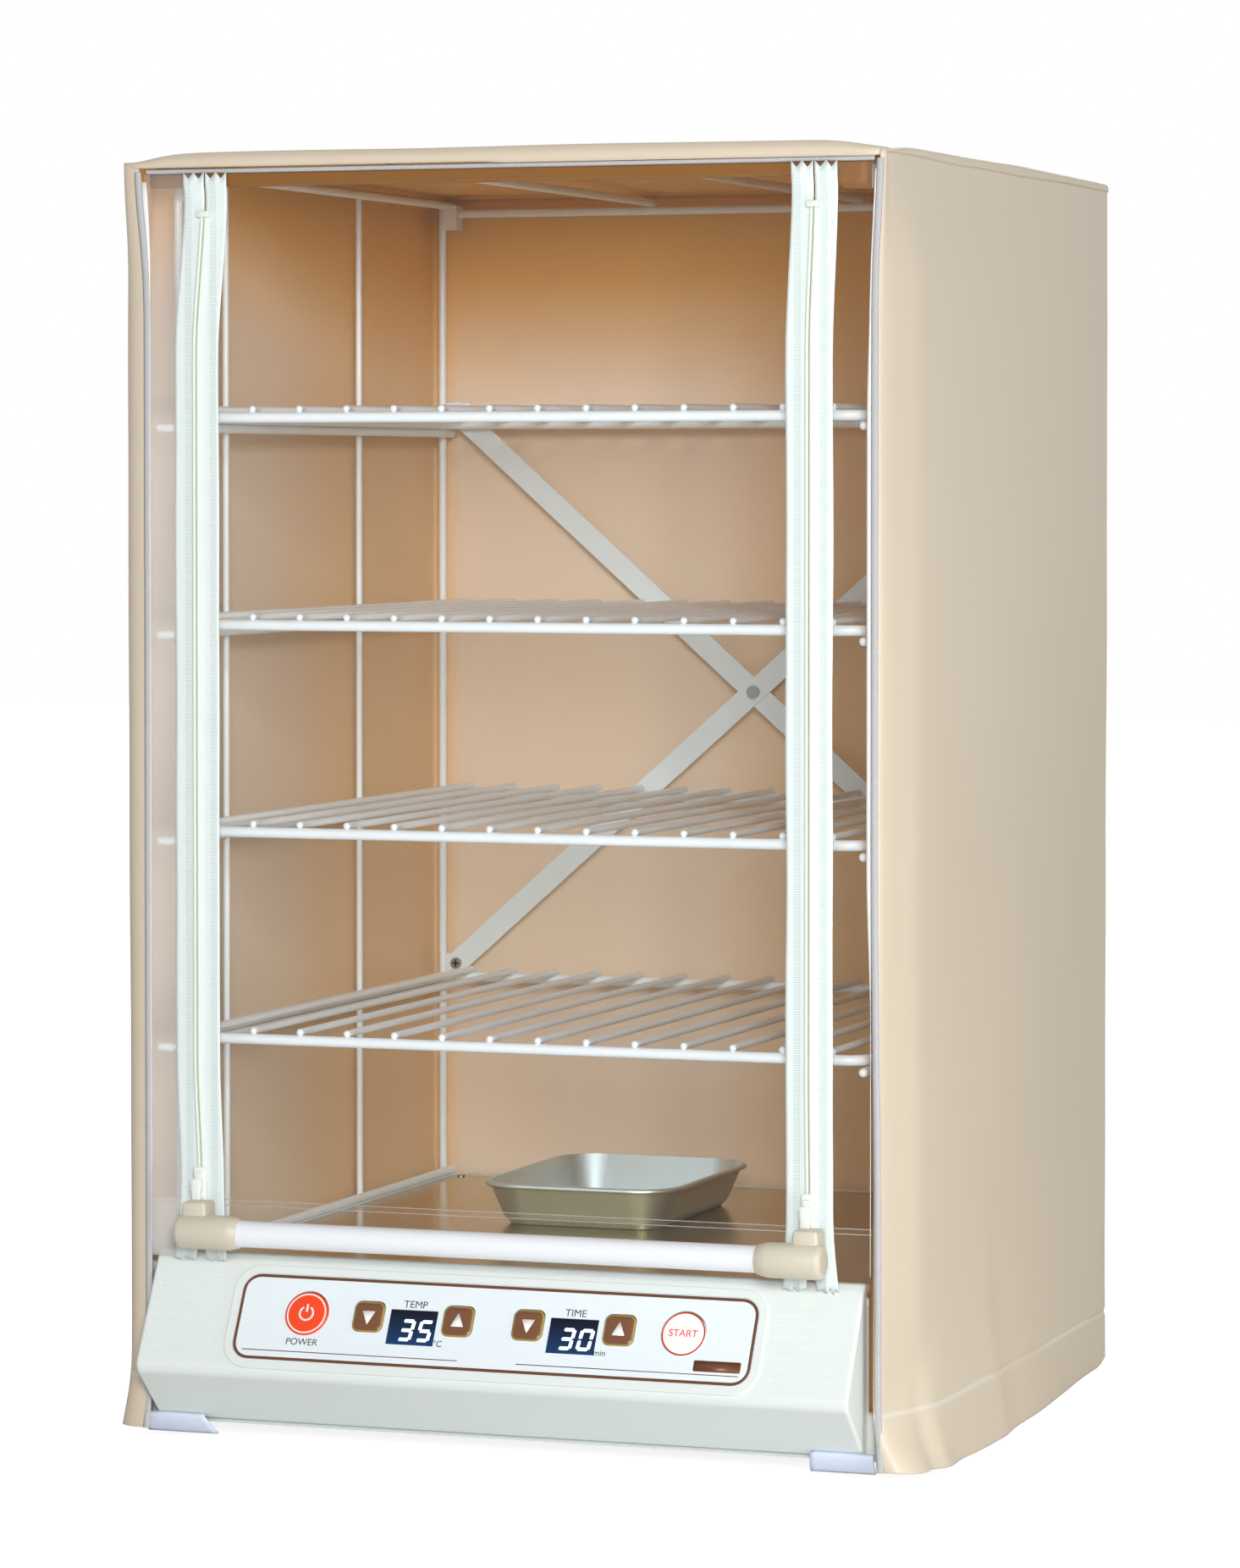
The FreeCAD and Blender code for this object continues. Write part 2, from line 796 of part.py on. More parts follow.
def button(name, x):
    top = overlay_sheet + key_proud
    flange_top = -fascia_wall - key_flange_gap
    cap = key_prism(name, 0, flange_top - weld_bite, top)
    flange = key_prism(name, key_flange, flange_top - key_flange_sheet, flange_top)
    return on_panel(fuse([cap, flange]), x, key_row)


def display(x):
    block = display_prism(0, -board_depth, overlay_sheet - display_sink)
    return on_panel(block, x, key_row - display_drop)


def tact_switches():
    top = -fascia_wall - key_flange_gap * 2 - key_flange_sheet - key_travel
    half = switch_side / 2
    switch = box(-half, half, -half, half, -board_depth, top)
    return group(on_panel(switch, x, key_row) for name, x in key_places())


def control_board():
    half_w = board_width / 2
    half_h = board_height / 2
    board = on_panel(box(-half_w, half_w, -half_h, half_h, board_back, -board_depth))
    hole = rod((0, 0, board_back - overrun), (0, 0, -board_depth + overrun), board_screw_shank)
    holes = [on_panel(hole, x, up) for x, up in board_boss_places()]
    return board.cut(group(holes))


def board_screws():
    screws = []
    for x, up in board_boss_places():
        head = rod((0, 0, board_back - board_screw_head_height), (0, 0, board_back), board_screw_head)
        shank = rod((0, 0, board_back), (0, 0, -board_depth + board_screw_bite), board_screw_shank)
        screws.append(on_panel(fuse([head, shank]), x, up))
    board_top = foot_height + base_wall + power_board_rise + board_sheet
    for x, y in power_board_places():
        head = rod((x, y, board_top), (x, y, board_top + board_screw_head_height), board_screw_head)
        shank = rod((x, y, board_top - board_sheet - board_screw_bite), (x, y, board_top), board_screw_shank)
        screws.append(fuse([head, shank]))
    return group(screws)


def fascia_screws():
    screws = []
    inner_y = base_front_y + base_wall
    for x, z in fascia_screw_places():
        head = rod((x, inner_y, z), (x, inner_y + screw_head_height, z), screw_head)
        shank = rod((x, base_front_y - fascia_block_depth + fascia_wall, z), (x, inner_y, z), screw_shank)
        screws.append(fuse([head, shank]))
    return group(screws)


def power_board_span():
    front = base_front_y + base_wall + power_board_front_gap
    low = foot_height + base_wall + power_board_rise
    return front, front + power_board_depth, low, low + board_sheet


def power_board():
    front, back, low, high = power_board_span()
    half = power_board_width / 2
    board = box(power_board_x - half, power_board_x + half, front, back, low, high)
    holes = [rod((x, y, low - overrun), (x, y, high + overrun), board_screw_shank)
             for x, y in power_board_places()]
    return board.cut(group(holes))


def board_block(size, shift):
    front, back, low, high = power_board_span()
    width, depth, height = size
    x = power_board_x + shift
    y = (front + back) / 2
    return box(x - width / 2, x + width / 2, y - depth / 2, y + depth / 2, high, high + height)


def ribbon_cable():
    front, back, low, high = power_board_span()
    turn = FreeCAD.Rotation(FreeCAD.Vector(1, 0, 0), slope_angle)
    start = FreeCAD.Vector(0, panel_y, panel_z) + turn.multVec(FreeCAD.Vector(0, 0, board_back))
    slot_z = foot_height + ribbon_slot_rise
    after_y = base_front_y + base_wall + ribbon_slot_gap
    line = [(start.y, start.z), (base_front_y, slot_z), (after_y, slot_z), (front + ribbon_slot_gap, high)]
    upper = [(ribbon_x - ribbon_width / 2, y, z + ribbon_sheet) for y, z in line]
    lower = [(ribbon_x - ribbon_width / 2, y, z) for y, z in reversed(line)]
    return polygon_prism(upper + lower, ribbon_width, (1, 0, 0)).cut(control_board())


# Frame

def side_frame():
    back_end = back_post_y + post_wire / 2
    wires = []
    post_foot = deck_z - socket_depth + socket_wall
    post_top = top_wire_z + rail_wire / 2
    for y in (front_post_y, back_post_y):
        wires.append(rod((post_x, y, post_foot), (post_x, y, post_top), post_wire))
    for share in stay_shares:
        y = front_post_y + share * (back_post_y - front_post_y)
        wires.append(rod((stay_x, y, deck_z + rail_wire / 2), (stay_x, y, post_top), stay_wire))
    shelf_rail_front = shelf_front_y - rail_lead + rail_wire / 2
    for z in shelf_zs:
        rail_z = z - rail_drop
        rail = rod((rail_x, shelf_rail_front, rail_z), (rail_x, back_end, rail_z), rail_wire)
        wires.append(fuse([rail, ball((rail_x, shelf_rail_front, rail_z), rail_wire)]))
    low_z = deck_z + rail_wire / 2
    wires.append(rod((rail_x, shelf_rail_front, low_z), (rail_x, back_end, low_z), rail_wire))
    top_front = cover_front_y + top_wire_setback
    wires.append(rod((rail_x, top_front, top_wire_z), (rail_x, back_end, top_wire_z), rail_wire))
    return group(wires)


def cross_rail_z():
    return top_wire_z - rail_wire


def top_grid():
    wires = []
    top_front = cover_front_y + top_wire_setback
    back_end = back_post_y + post_wire / 2
    for share in depth_wire_shares:
        x = share * rail_x
        wires.append(rod((x, top_front, top_wire_z), (x, back_end, top_wire_z), rail_wire))
    for y in (front_post_y, back_post_y):
        wires.append(rod((-rail_x, y, cross_rail_z()), (rail_x, y, cross_rail_z()), rail_wire))
    return group(wires)


def top_corner_clips():
    outer_x = post_x - post_wire / 2 - clip_post_gap
    clips = []
    for side in (-1, 1):
        for y in (front_post_y, back_post_y):
            ends = sorted((side * outer_x, side * (outer_x - clip_width)))
            bore = rail_wire + slip * 2
            at_x = side * rail_x
            far_x = side * (rail_x - clip_width * 2)
            clip = box(ends[0], ends[1], y - clip_length / 2, y + clip_length / 2,
                       top_wire_z - clip_height, top_wire_z)
            rail_bore = rod((at_x, y - clip_length, top_wire_z), (at_x, y + clip_length, top_wire_z), bore)
            cross_bore = rod((far_x, y, cross_rail_z()), (at_x, y, cross_rail_z()), bore)
            clips.append(clip.cut(rail_bore).cut(cross_bore))
    return group(clips)


def brace_span():
    low = shelf_zs[-1] - rail_drop + brace_end_rise
    high = shelf_zs[0] - rail_drop + brace_end_rise
    end_x = post_x - post_wire / 2 - bracket_width / 2
    return end_x, low, high


def brace_layer(layer):
    near = back_post_y - brace_sheet / 2 - (layer + 1) * brace_sheet
    return near, near + brace_sheet


def brace_bar(rising):
    end_x, low, high = brace_span()
    length = math.hypot(end_x * 2, high - low)
    angle = math.degrees(math.atan2(high - low, end_x * 2))
    y0, y1 = brace_layer(1 if rising else 0)
    half = brace_width / 2
    bar = box(-length / 2, length / 2, y0, y1, -half, half)
    ends = [rod((x, y0, 0), (x, y1, 0), brace_width) for x in (-length / 2, length / 2)]
    bar = fuse([bar] + ends)
    holes = [rod((x, y0 - overrun, 0), (x, y1 + overrun, 0), brace_screw_shank)
             for x in (-length / 2, length / 2)]
    holes.append(rod((0, y0 - overrun, 0), (0, y1 + overrun, 0), rivet_shank))
    bar = bar.cut(group(holes))
    bar.rotate(FreeCAD.Vector(0, 0, 0), FreeCAD.Vector(0, 1, 0), -angle if rising else angle)
    return moved(bar, 0, 0, (low + high) / 2)


def brace_ends():
    end_x, low, high = brace_span()
    for side in (-1, 1):
        for z in (low, high):
            rising = (side > 0) == (z == high)
            yield side, side * end_x, z, 1 if rising else 0


def brace_brackets():
    brackets = []
    inner = post_x - post_wire / 2
    for side, x, z, layer in brace_ends():
        front = brace_layer(layer)[1]
        ends = sorted((side * inner, side * (inner - bracket_width)))
        plate = box(ends[0], ends[1], front, back_post_y + brace_sheet / 2,
                    z - bracket_height / 2, z + bracket_height / 2)
        hole = rod((x, front - overrun, z), (x, back_post_y + brace_sheet, z), brace_screw_shank)
        brackets.append(plate.cut(hole))
    return group(brackets)


def brace_screws():
    screws = []
    for side, x, z, layer in brace_ends():
        front = brace_layer(layer)[0]
        head = rod((x, front - brace_screw_head_height, z), (x, front, z), brace_screw_head)
        shank = rod((x, front, z), (x, back_post_y + brace_sheet / 2, z), brace_screw_shank)
        screws.append(fuse([head, shank]))
    return group(screws)


def brace_rivet():
    end_x, low, high = brace_span()
    z = (low + high) / 2
    front = brace_layer(1)[0]
    back = brace_layer(0)[1]
    head = rod((0, front - rivet_head_height, z), (0, front, z), rivet_head)
    tail = rod((0, back, z), (0, back + rivet_head_height, z), rivet_head)
    return fuse([head, rod((0, front, z), (0, back, z), rivet_shank), tail])


def wire_shelf(z):
    width = shelf_width - rim_wire
    depth = shelf_depth - rim_wire
    rim = swept_ring(rounded_outline(width, depth, shelf_corner, 0), rim_wire)
    cross_z = (rim_wire + cross_wire) / 2 - weld_bite
    span = shelf_width - cross_margin * 2
    wires = []
    for index in range(cross_wire_count):
        x = -span / 2 + span * index / (cross_wire_count - 1)
        ends = [(x, -depth / 2, cross_z), (x, depth / 2, cross_z)]
        wires.append(fuse([rod(ends[0], ends[1], cross_wire)] + [ball(end, cross_wire) for end in ends]))
    return moved(fuse([rim] + wires), 0, (shelf_front_y + shelf_back_y) / 2, z)


def water_tray():
    def wall(inset, floor):
        sections = []
        foot = tray_foot_round
        for z, grow in ((floor, -foot), (foot + floor, 0), (tray_height, tray_flare)):
            more = grow - inset
            sections.append(rounded_outline(tray_bottom_width + more * 2, tray_bottom_length + more * 2,
                                            tray_corner + more, z))
        return sections

    outer = Part.makeLoft(wall(0, 0), True, True)
    inner = Part.makeLoft(wall(tray_sheet, tray_sheet), True, True)
    rim_out = tray_flare + tray_rim / 2 - tray_sheet
    rim_path = rounded_outline(tray_bottom_width + rim_out * 2, tray_bottom_length + rim_out * 2,
                               tray_corner + rim_out, tray_height - tray_rim / 2)
    tray = fuse([outer.cut(inner), swept_ring(rim_path, tray_rim)])
    back = shelf_back_y - tray_back_gap
    mid_y = back - tray_bottom_length / 2 - tray_flare
    return moved(tray.cut(inner), tray_x, mid_y, deck_z + rest_gap)


# Cover

def cover_top():
    mid_y = (cover_front_y + cover_back_y) / 2

    def lid(inset):
        width = (cover_half - inset) * 2
        depth = cover_depth - inset * 2
        radius = cover_corner - inset
        top = cover_top_z - inset
        bottom = cover_top_z - lip_drop - (overrun if inset else 0)
        block = rounded_plate(width, depth, radius, bottom, top)
        return block.makeFillet(radius - slip, edges_at(block, lambda edge: edge.BoundBox.ZMin > top - slip))

    skirt = moved(lid(0).cut(lid(cover_sheet)), 0, mid_y, 0)
    trim = box(-cover_half - overrun, cover_half + overrun,
               cover_front_y + cover_corner, cover_back_y + overrun,
               cover_top_z - lip_drop - overrun, cover_top_z - side_drop)
    front_half = cover_half - cover_return
    ends = [box(min(x0, x1), max(x0, x1), cover_front_y - overrun, cover_front_y + cover_corner,
                cover_top_z - lip_drop - overrun, cover_top_z - side_drop)
            for x0, x1 in ((-cover_half - overrun, -front_half), (front_half, cover_half + overrun))]
    return skirt.cut(group([trim] + ends))


def side_section(z, bulge):
    turn = cover_corner * (1 - math.sqrt(0.5))
    fold_end = cover_front_y + cover_corner + hem_fold_length

    def path(inset):
        out = cover_half - inset
        front = cover_front_y + inset
        back = cover_back_y - inset
        corner_x = cover_half - cover_corner
        near = cover_front_y + cover_corner
        far = cover_back_y - cover_corner
        ease = turn + inset * math.sqrt(0.5)
        return [(cover_half - cover_return, front), (corner_x, front),
                (cover_half - ease, cover_front_y + ease), (out, near),
                (out + bulge, (near + fold_end) / 2), (out, fold_end), (out, far),
                (cover_half - ease, cover_back_y - ease), (corner_x, back)]

    def edges(points, reverse):
        if reverse:
            kinds = (("arc", 8, 7, 6), ("line", 6, 5), ("arc", 5, 4, 3), ("arc", 3, 2, 1), ("line", 1, 0))
        else:
            kinds = (("line", 0, 1), ("arc", 1, 2, 3), ("arc", 3, 4, 5), ("line", 5, 6), ("arc", 6, 7, 8))
        made = []
        for kind, *places in kinds:
            spots = [FreeCAD.Vector(*points[place], z) for place in places]
            made.append(Part.Arc(*spots) if kind == "arc" else Part.LineSegment(*spots))
        return made

    outer = edges(path(0), False)
    inner = edges(path(cover_sheet), True)
    ring = outer + [Part.LineSegment(outer[-1].EndPoint, inner[0].StartPoint)] + inner
    ring.append(Part.LineSegment(inner[-1].EndPoint, outer[0].StartPoint))
    return Part.Wire([edge.toShape() for edge in ring])


def cover_side():
    weld_z = hem_height + hem_band
    levels = ((hem_height, hem_flare), (weld_z, hem_flare * weld_flare_share),
              (weld_z + hem_fade, hem_flare * fade_flare_share), (cover_top_z - side_drop, cloth_ease))
    return Part.makeLoft([side_section(z, bulge) for z, bulge in levels], True, True)


def cover_back():
    half = cover_half - cover_corner
    return box(-half, half, cover_back_y - cover_sheet, cover_back_y, hem_height, cover_top_z - side_drop)


def front_binding():
    outer = cover_half - binding_inset
    inner = outer - binding_width
    y0 = cover_front_y - binding_sheet
    strips = [box(min(a, b), max(a, b), y0, cover_front_y, hem_height, binding_top_z)
              for a, b in ((-outer, -inner), (inner, outer))]
    strips.append(box(-outer, outer, y0, cover_front_y, binding_bottom_z, binding_top_z))
    return fuse(strips)


def border_films():
    return pair(box(zip_x + film_seam, film_side_x, cover_front_y, cover_front_y + film_sheet,
                    sill_bottom_z, binding_top_z))


def sill_film():
    y0 = cover_front_y + film_sheet + sill_behind
    return box(-film_side_x, film_side_x, y0, y0 + film_sheet, sill_bottom_z, fascia_top_z + sill_height)


def window_film():
    half = zip_x - film_seam
    return box(-half, half, cover_front_y, cover_front_y + film_sheet, fascia_top_z + window_drop, film_top_z)


def zip_tape(way):
    edge_x = zip_x + way * tape_gap / 2
    far_x = edge_x + way * tape_width
    coil_x = edge_x + way * coil_size
    tape = box(min(edge_x, far_x), max(edge_x, far_x), cover_front_y - tape_sheet, cover_front_y,
               tape_bottom_z, film_top_z)
    coil = box(min(edge_x, coil_x), max(edge_x, coil_x), coil_front_y, cover_front_y,
               slider_z, film_top_z - stop_drop)
    return pair(fuse([tape, coil]))


def zip_top_stops():
    top = film_top_z - stop_drop
    inner_x = zip_x - tape_gap / 2 - stop_width / 2
    front = slider_front()
    plate = box(inner_x, zip_x + stop_width / 2, front, front + slider_plate, top, top + stop_height)
    leg = box(inner_x, zip_x - tape_gap / 2, front, cover_front_y - tape_sheet, top, top + stop_height)
    return pair(fuse([plate, leg]))


def slider_front():
    return coil_front_y - rest_gap - slider_plate


def zip_sliders():
    half_w = slider_width / 2
    half_l = slider_length / 2
    front = slider_front()
    back = cover_front_y + rest_gap + slider_plate
    low = slider_z - half_l
    high = slider_z + half_l
    plate = box(zip_x - half_w, zip_x + half_w, front, front + slider_plate, low, high)
    post_half = tape_gap / 2 - slip
    post = box(zip_x - post_half, zip_x + post_half, front, back, high - half_l / 2, high)
    rear = box(zip_x - half_w, zip_x + post_half, back - slider_plate, back, low, high)
    lug = box(zip_x - slider_lug / 2, zip_x + slider_lug / 2, front - slider_lug, front,
              slider_z - slider_lug / 2, slider_z + slider_lug / 2)
    return pair(fuse([plate, post, rear, lug]))


def tab_top_z():
    return bar_z + cap_tab_rise


def pull_block(grow):
    half = pull_width / 2 + grow
    back = slider_front() - slider_lug + grow
    front = slider_front() - slider_lug - pull_sheet - grow
    top = slider_z + slider_lug / 2
    return box(zip_x - half, zip_x + half, front, back, tab_top_z() - pull_bite, top)


def zip_pulls():
    return pair(pull_block(0))


def handle_end_caps():
    axis = FreeCAD.Vector(1, 0, 0)
    body_start = cap_inner_x + cap_taper_length
    body = rod((body_start, bar_y, bar_z), (cap_outer_x, bar_y, bar_z), cap_diameter)
    collar_radius = (cap_diameter + bar_diameter) / 4 + bar_wall / 2
    collar = Part.makeCone(collar_radius, cap_diameter / 2, cap_taper_length,
                           FreeCAD.Vector(cap_inner_x, bar_y, bar_z), axis)
    half = cap_tab_width / 2
    tab_back = bar_y - cap_tab_forward + cap_tab_depth
    tab = box(zip_x - half, zip_x + half, bar_y - cap_tab_forward, tab_back, bar_z, tab_top_z())
    cap = fuse([body, collar, tab])
    socket_end = cap_inner_x + cap_socket
    socket = rod((cap_inner_x - overrun, bar_y, bar_z), (socket_end, bar_y, bar_z), bar_diameter)
    return pair(cap.cut(socket).cut(pull_block(slip)))


def handle_bar():
    end = cap_inner_x + cap_socket
    tube = rod((-end, bar_y, bar_z), (end, bar_y, bar_z), bar_diameter)
    hole = rod((-end - overrun, bar_y, bar_z), (end + overrun, bar_y, bar_z), bar_diameter - bar_wall * 2)
    return tube.cut(hole)


def hold_down_tabs():
    outer = cover_half - cover_corner - cover_sheet
    y0 = cover_front_y + cover_sheet
    y1 = y0 + hold_tab_sheet
    under_ratio = (ridge_z - fascia_bottom_z) / (fascia_top_y - ridge_y)
    top = fascia_bottom_z + (fascia_top_y - y1) * under_ratio - rest_gap
    return pair(box(outer - hold_tab_length, outer, y0, y1, hem_height + hold_tab_rise, top))


pieces = {
    "base_pan": base_pan(),
    "base_rim": base_rim(),
    "base_screws": base_screws(),
    "rubber_feet": rubber_feet(),
    "cord_bushing": cord_bushing(),
    "deck_plate": deck_plate(),
    "deck_screws": deck_screws(),
    "heater_element": heater_element(),
    "heater_straps": heater_straps(),
    "thermal_cutout": thermal_cutout(),
    "temperature_sensor": temperature_sensor(),
    "insulation_pad": insulation_pad(),
    "fascia": fascia(),
    "fascia_screws": fascia_screws(),
    "panel_overlay": panel_overlay(),
    "temp_display": display(-display_x),
    "time_display": display(display_x),
    "control_board": control_board(),
    "tact_switches": tact_switches(),
    "board_screws": board_screws(),
    "power_board": power_board(),
    "transformer": board_block(transformer_size, transformer_shift),
    "relay": board_block(relay_size, relay_shift),
    "ribbon_cable": ribbon_cable(),
    "left_side_frame": mirrored(side_frame()),
    "right_side_frame": side_frame(),
    "top_grid": top_grid(),
    "top_corner_clips": top_corner_clips(),
    "brace_bar_rising": brace_bar(True),
    "brace_bar_falling": brace_bar(False),
    "brace_brackets": brace_brackets(),
    "brace_screws": brace_screws(),
    "brace_rivet": brace_rivet(),
    "water_tray": water_tray(),
    "cover_top": cover_top(),
    "cover_left": mirrored(cover_side()),
    "cover_right": cover_side(),
    "cover_back": cover_back(),
    "front_binding": front_binding(),
    "border_films": border_films(),
    "sill_film": sill_film(),
    "window_film": window_film(),
    "outer_zip_tapes": zip_tape(1),
    "inner_zip_tapes": zip_tape(-1),
    "zip_top_stops": zip_top_stops(),
    "zip_sliders": zip_sliders(),
    "zip_pulls": zip_pulls(),
    "handle_end_caps": handle_end_caps(),
    "handle_bar": handle_bar(),
    "hold_down_tabs": hold_down_tabs(),
}
for key_name, key_x in key_places():
    pieces[key_name] = button(key_name, key_x)
for row, shelf_z in enumerate(shelf_zs):
    pieces["shelf_%d" % (row + 1)] = wire_shelf(shelf_z)

os.makedirs("parts", exist_ok=True)
for node, shape in pieces.items():
    shape.exportStep("parts/%s.step" % node)
    state = "valid" if shape.isValid() else "INVALID"
    print(node, len(shape.Solids), "solids", round(shape.Volume, 1), "mm3", state)
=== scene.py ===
import json
import math

import bmesh
import bpy
from mathutils import Matrix, Vector, noise


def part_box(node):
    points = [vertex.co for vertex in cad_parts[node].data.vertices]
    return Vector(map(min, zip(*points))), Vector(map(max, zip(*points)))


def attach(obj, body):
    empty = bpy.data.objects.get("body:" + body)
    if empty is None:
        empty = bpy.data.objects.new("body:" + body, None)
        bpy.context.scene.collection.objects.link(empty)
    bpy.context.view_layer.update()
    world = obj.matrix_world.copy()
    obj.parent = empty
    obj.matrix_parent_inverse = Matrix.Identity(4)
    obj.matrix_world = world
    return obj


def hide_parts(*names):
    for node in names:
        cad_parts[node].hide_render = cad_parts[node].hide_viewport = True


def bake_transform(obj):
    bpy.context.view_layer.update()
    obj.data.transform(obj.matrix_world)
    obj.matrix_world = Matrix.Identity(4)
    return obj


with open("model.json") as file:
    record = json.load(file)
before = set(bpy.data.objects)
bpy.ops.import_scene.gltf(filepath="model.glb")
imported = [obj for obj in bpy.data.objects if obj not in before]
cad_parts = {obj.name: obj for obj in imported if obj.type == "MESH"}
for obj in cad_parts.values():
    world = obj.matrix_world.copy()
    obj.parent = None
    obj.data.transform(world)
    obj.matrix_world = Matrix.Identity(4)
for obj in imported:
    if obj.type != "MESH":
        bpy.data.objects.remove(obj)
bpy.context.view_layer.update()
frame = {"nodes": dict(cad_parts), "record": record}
mm = 0.001
warmWhite = (1.0, 0.99, 0.975, 1.0)
cabinet = "proofer_body"
windowFlap = "window_flap"
liftBar = "lift_bar"


# shader maths: a socket with the operators that the finishes use
def operator(operation):
    return lambda first, second: first.maths(operation, first, second)


class Socket:
    __add__ = __radd__ = operator("ADD")
    __sub__ = operator("SUBTRACT")
    __mul__ = __rmul__ = operator("MULTIPLY")
    __truediv__ = operator("DIVIDE")
    __pow__ = operator("POWER")
    __gt__ = operator("GREATER_THAN")
    __lt__ = operator("LESS_THAN")

    def __init__(self, paint, out):
        self.paint = paint
        self.out = out

    def __rsub__(self, other):
        return self.maths("SUBTRACT", other, self)

    def __abs__(self):
        return self.maths("ABSOLUTE", self)

    def maths(self, operation, first, second=0.0):
        return self.paint.add("ShaderNodeMath", {0: first, 1: second}, operation=operation)

    def wave(self):
        return self.maths("SINE", self)

    def limit(self):
        return self.paint.add("ShaderNodeClamp", {0: self})


class Paint:
    def __init__(self, name, world=False):
        self.owner = bpy.data.worlds.new(name) if world else bpy.data.materials.new(name)
        self.owner.use_nodes = True
        self.tree = self.owner.node_tree
        self.tree.nodes.clear()
        self.output = self.tree.nodes.new("ShaderNodeOutputWorld" if world else "ShaderNodeOutputMaterial")

    def add(self, kind, sockets, out=0, **settings):
        node = self.tree.nodes.new(kind)
        for key, value in settings.items():
            setattr(node, key, value)
        for key, value in sockets.items():
            if isinstance(value, Socket):
                self.tree.links.new(value.out, node.inputs[key])
            else:
                node.inputs[key].default_value = value
        return Socket(self, node.outputs[out])

    def place(self):
        return self.add("ShaderNodeTexCoord", {}, "Object")

    def axes(self, spot):
        return [self.add("ShaderNodeSeparateXYZ", {0: spot}, index) for index in range(3)]

    def stretched(self, spot, scale):
        return self.add("ShaderNodeMapping", {"Vector": spot, "Scale": scale})

    def cloud(self, spot, scale, detail=2.0, rough=0.5):
        sockets = {"Vector": spot, "Scale": scale, "Detail": detail, "Roughness": rough}
        return self.add("ShaderNodeTexNoise", sockets)

    def mixed(self, factor, first, second):
        return self.add("ShaderNodeMix", {0: factor, 6: first, 7: second}, 2, data_type="RGBA")

    def bump(self, height, strength, distance):
        return self.add("ShaderNodeBump", {"Strength": strength, "Distance": distance, "Height": height})

    def surface(self, sockets):
        return self.finish(self.add("ShaderNodeBsdfPrincipled", sockets))

    def finish(self, shader):
        self.tree.links.new(shader.out, self.output.inputs["Surface"])
        return self.owner


def tone(red, green, blue):
    # screen colour, 0 to 255, to the linear colour that a shader takes
    parts = []
    for value in (red, green, blue):
        share = value / 255
        parts.append(share / 12.92 if share <= 0.04045 else ((share + 0.055) / 1.055) ** 2.4)
    return (*parts, 1.0)


def shaded(colour, factor):
    return tuple(part * factor for part in colour[:3]) + (1.0,)


def waves(place, pitch):
    return (place * (2 * math.pi / pitch)).wave()


def moulded(name, colour, rough, grain=2200.0, depth=0.02, drift=0.05):
    paint = Paint(name)
    spot = paint.place()
    soft = paint.cloud(spot, 9.0, 3.0)
    fine = paint.cloud(spot, grain, 1.0)
    return paint.surface({
        "Base Color": paint.mixed(soft, shaded(colour, 1 - drift), shaded(colour, 1 + drift)),
        "Roughness": rough + (fine - 0.5) * 0.08 + (soft - 0.5) * 0.06,
        "Normal": paint.bump(fine, 0.25, depth * mm),
    })


# the pale lining tone is painted light on the lining's lit walls
vinylLook = {"outside": tone(217, 203, 181), "lining": tone(241, 190, 115),
             "turned": tone(138, 96, 52), "paintedLight": tone(238, 218, 195),
             "paintedLightTop": 706 * mm, "paintedLightFall": 0.1, "paintedLightFade": 75 * mm, "weld": tone(226, 221, 208),
             "weldZ": 37.5 * mm, "weldRise": -0.012, "weldFrom": -212 * mm, "grain": 1500.0}


def vinyl(name, side):
    paint = Paint(name)
    colour = vinylLook[side]
    spot = paint.place()
    x, y, z = paint.axes(spot)
    soft = paint.cloud(spot, 5.0, 3.0)
    grain = paint.cloud(spot, vinylLook["grain"], 2.0, 0.6)
    pebble = paint.cloud(spot, 420.0, 2.0)
    base = paint.mixed(soft, shaded(colour, 0.955), shaded(colour, 1.03))
    rough = 0.42 + (soft - 0.5) * 0.1 + (grain - 0.5) * 0.08
    if side == "outside":  # the welded hem line turns chalky in stretches
        patch = (paint.cloud(paint.stretched(spot, (11.0, 11.0, 0.0)), 1.0, 1.0) - 0.44) * 9.0
        weldZ = vinylLook["weldZ"] + (y - vinylLook["weldFrom"]) * vinylLook["weldRise"]
        line = (1.0 - abs(z - weldZ) / (1.9 * mm)).limit() ** 0.6
        base = paint.mixed(line * patch.limit() * 0.85, base, vinylLook["weld"])
    if side == "lining":  # painted light: paler on the left and the back below the top wires, where the front light falls
        under = vinylLook["paintedLightTop"] - (y - vinylLook["weldFrom"]) * vinylLook["paintedLightFall"] - z
        across = ((140 * mm - x) / (180 * mm)).limit()
        back = ((x + 208 * mm) / (8 * mm)).limit()
        near = ((80 * mm - y) / (100 * mm)).limit()
        left = across * (back + (1 - back) * (0.5 + near * 0.5))
        base = paint.mixed((under / vinylLook["paintedLightFade"]).limit() * left, base, vinylLook["paintedLight"])
    return paint.surface({"Base Color": base, "Roughness": rough,
                          "Specular IOR Level": 0.55 if side == "outside" else 0.12,
                          "Normal": paint.bump(grain * 0.6 + pebble * 0.8, 0.16, 0.09 * mm)})


filmLook = {"border": 0.2, "borderX": -178 * mm}


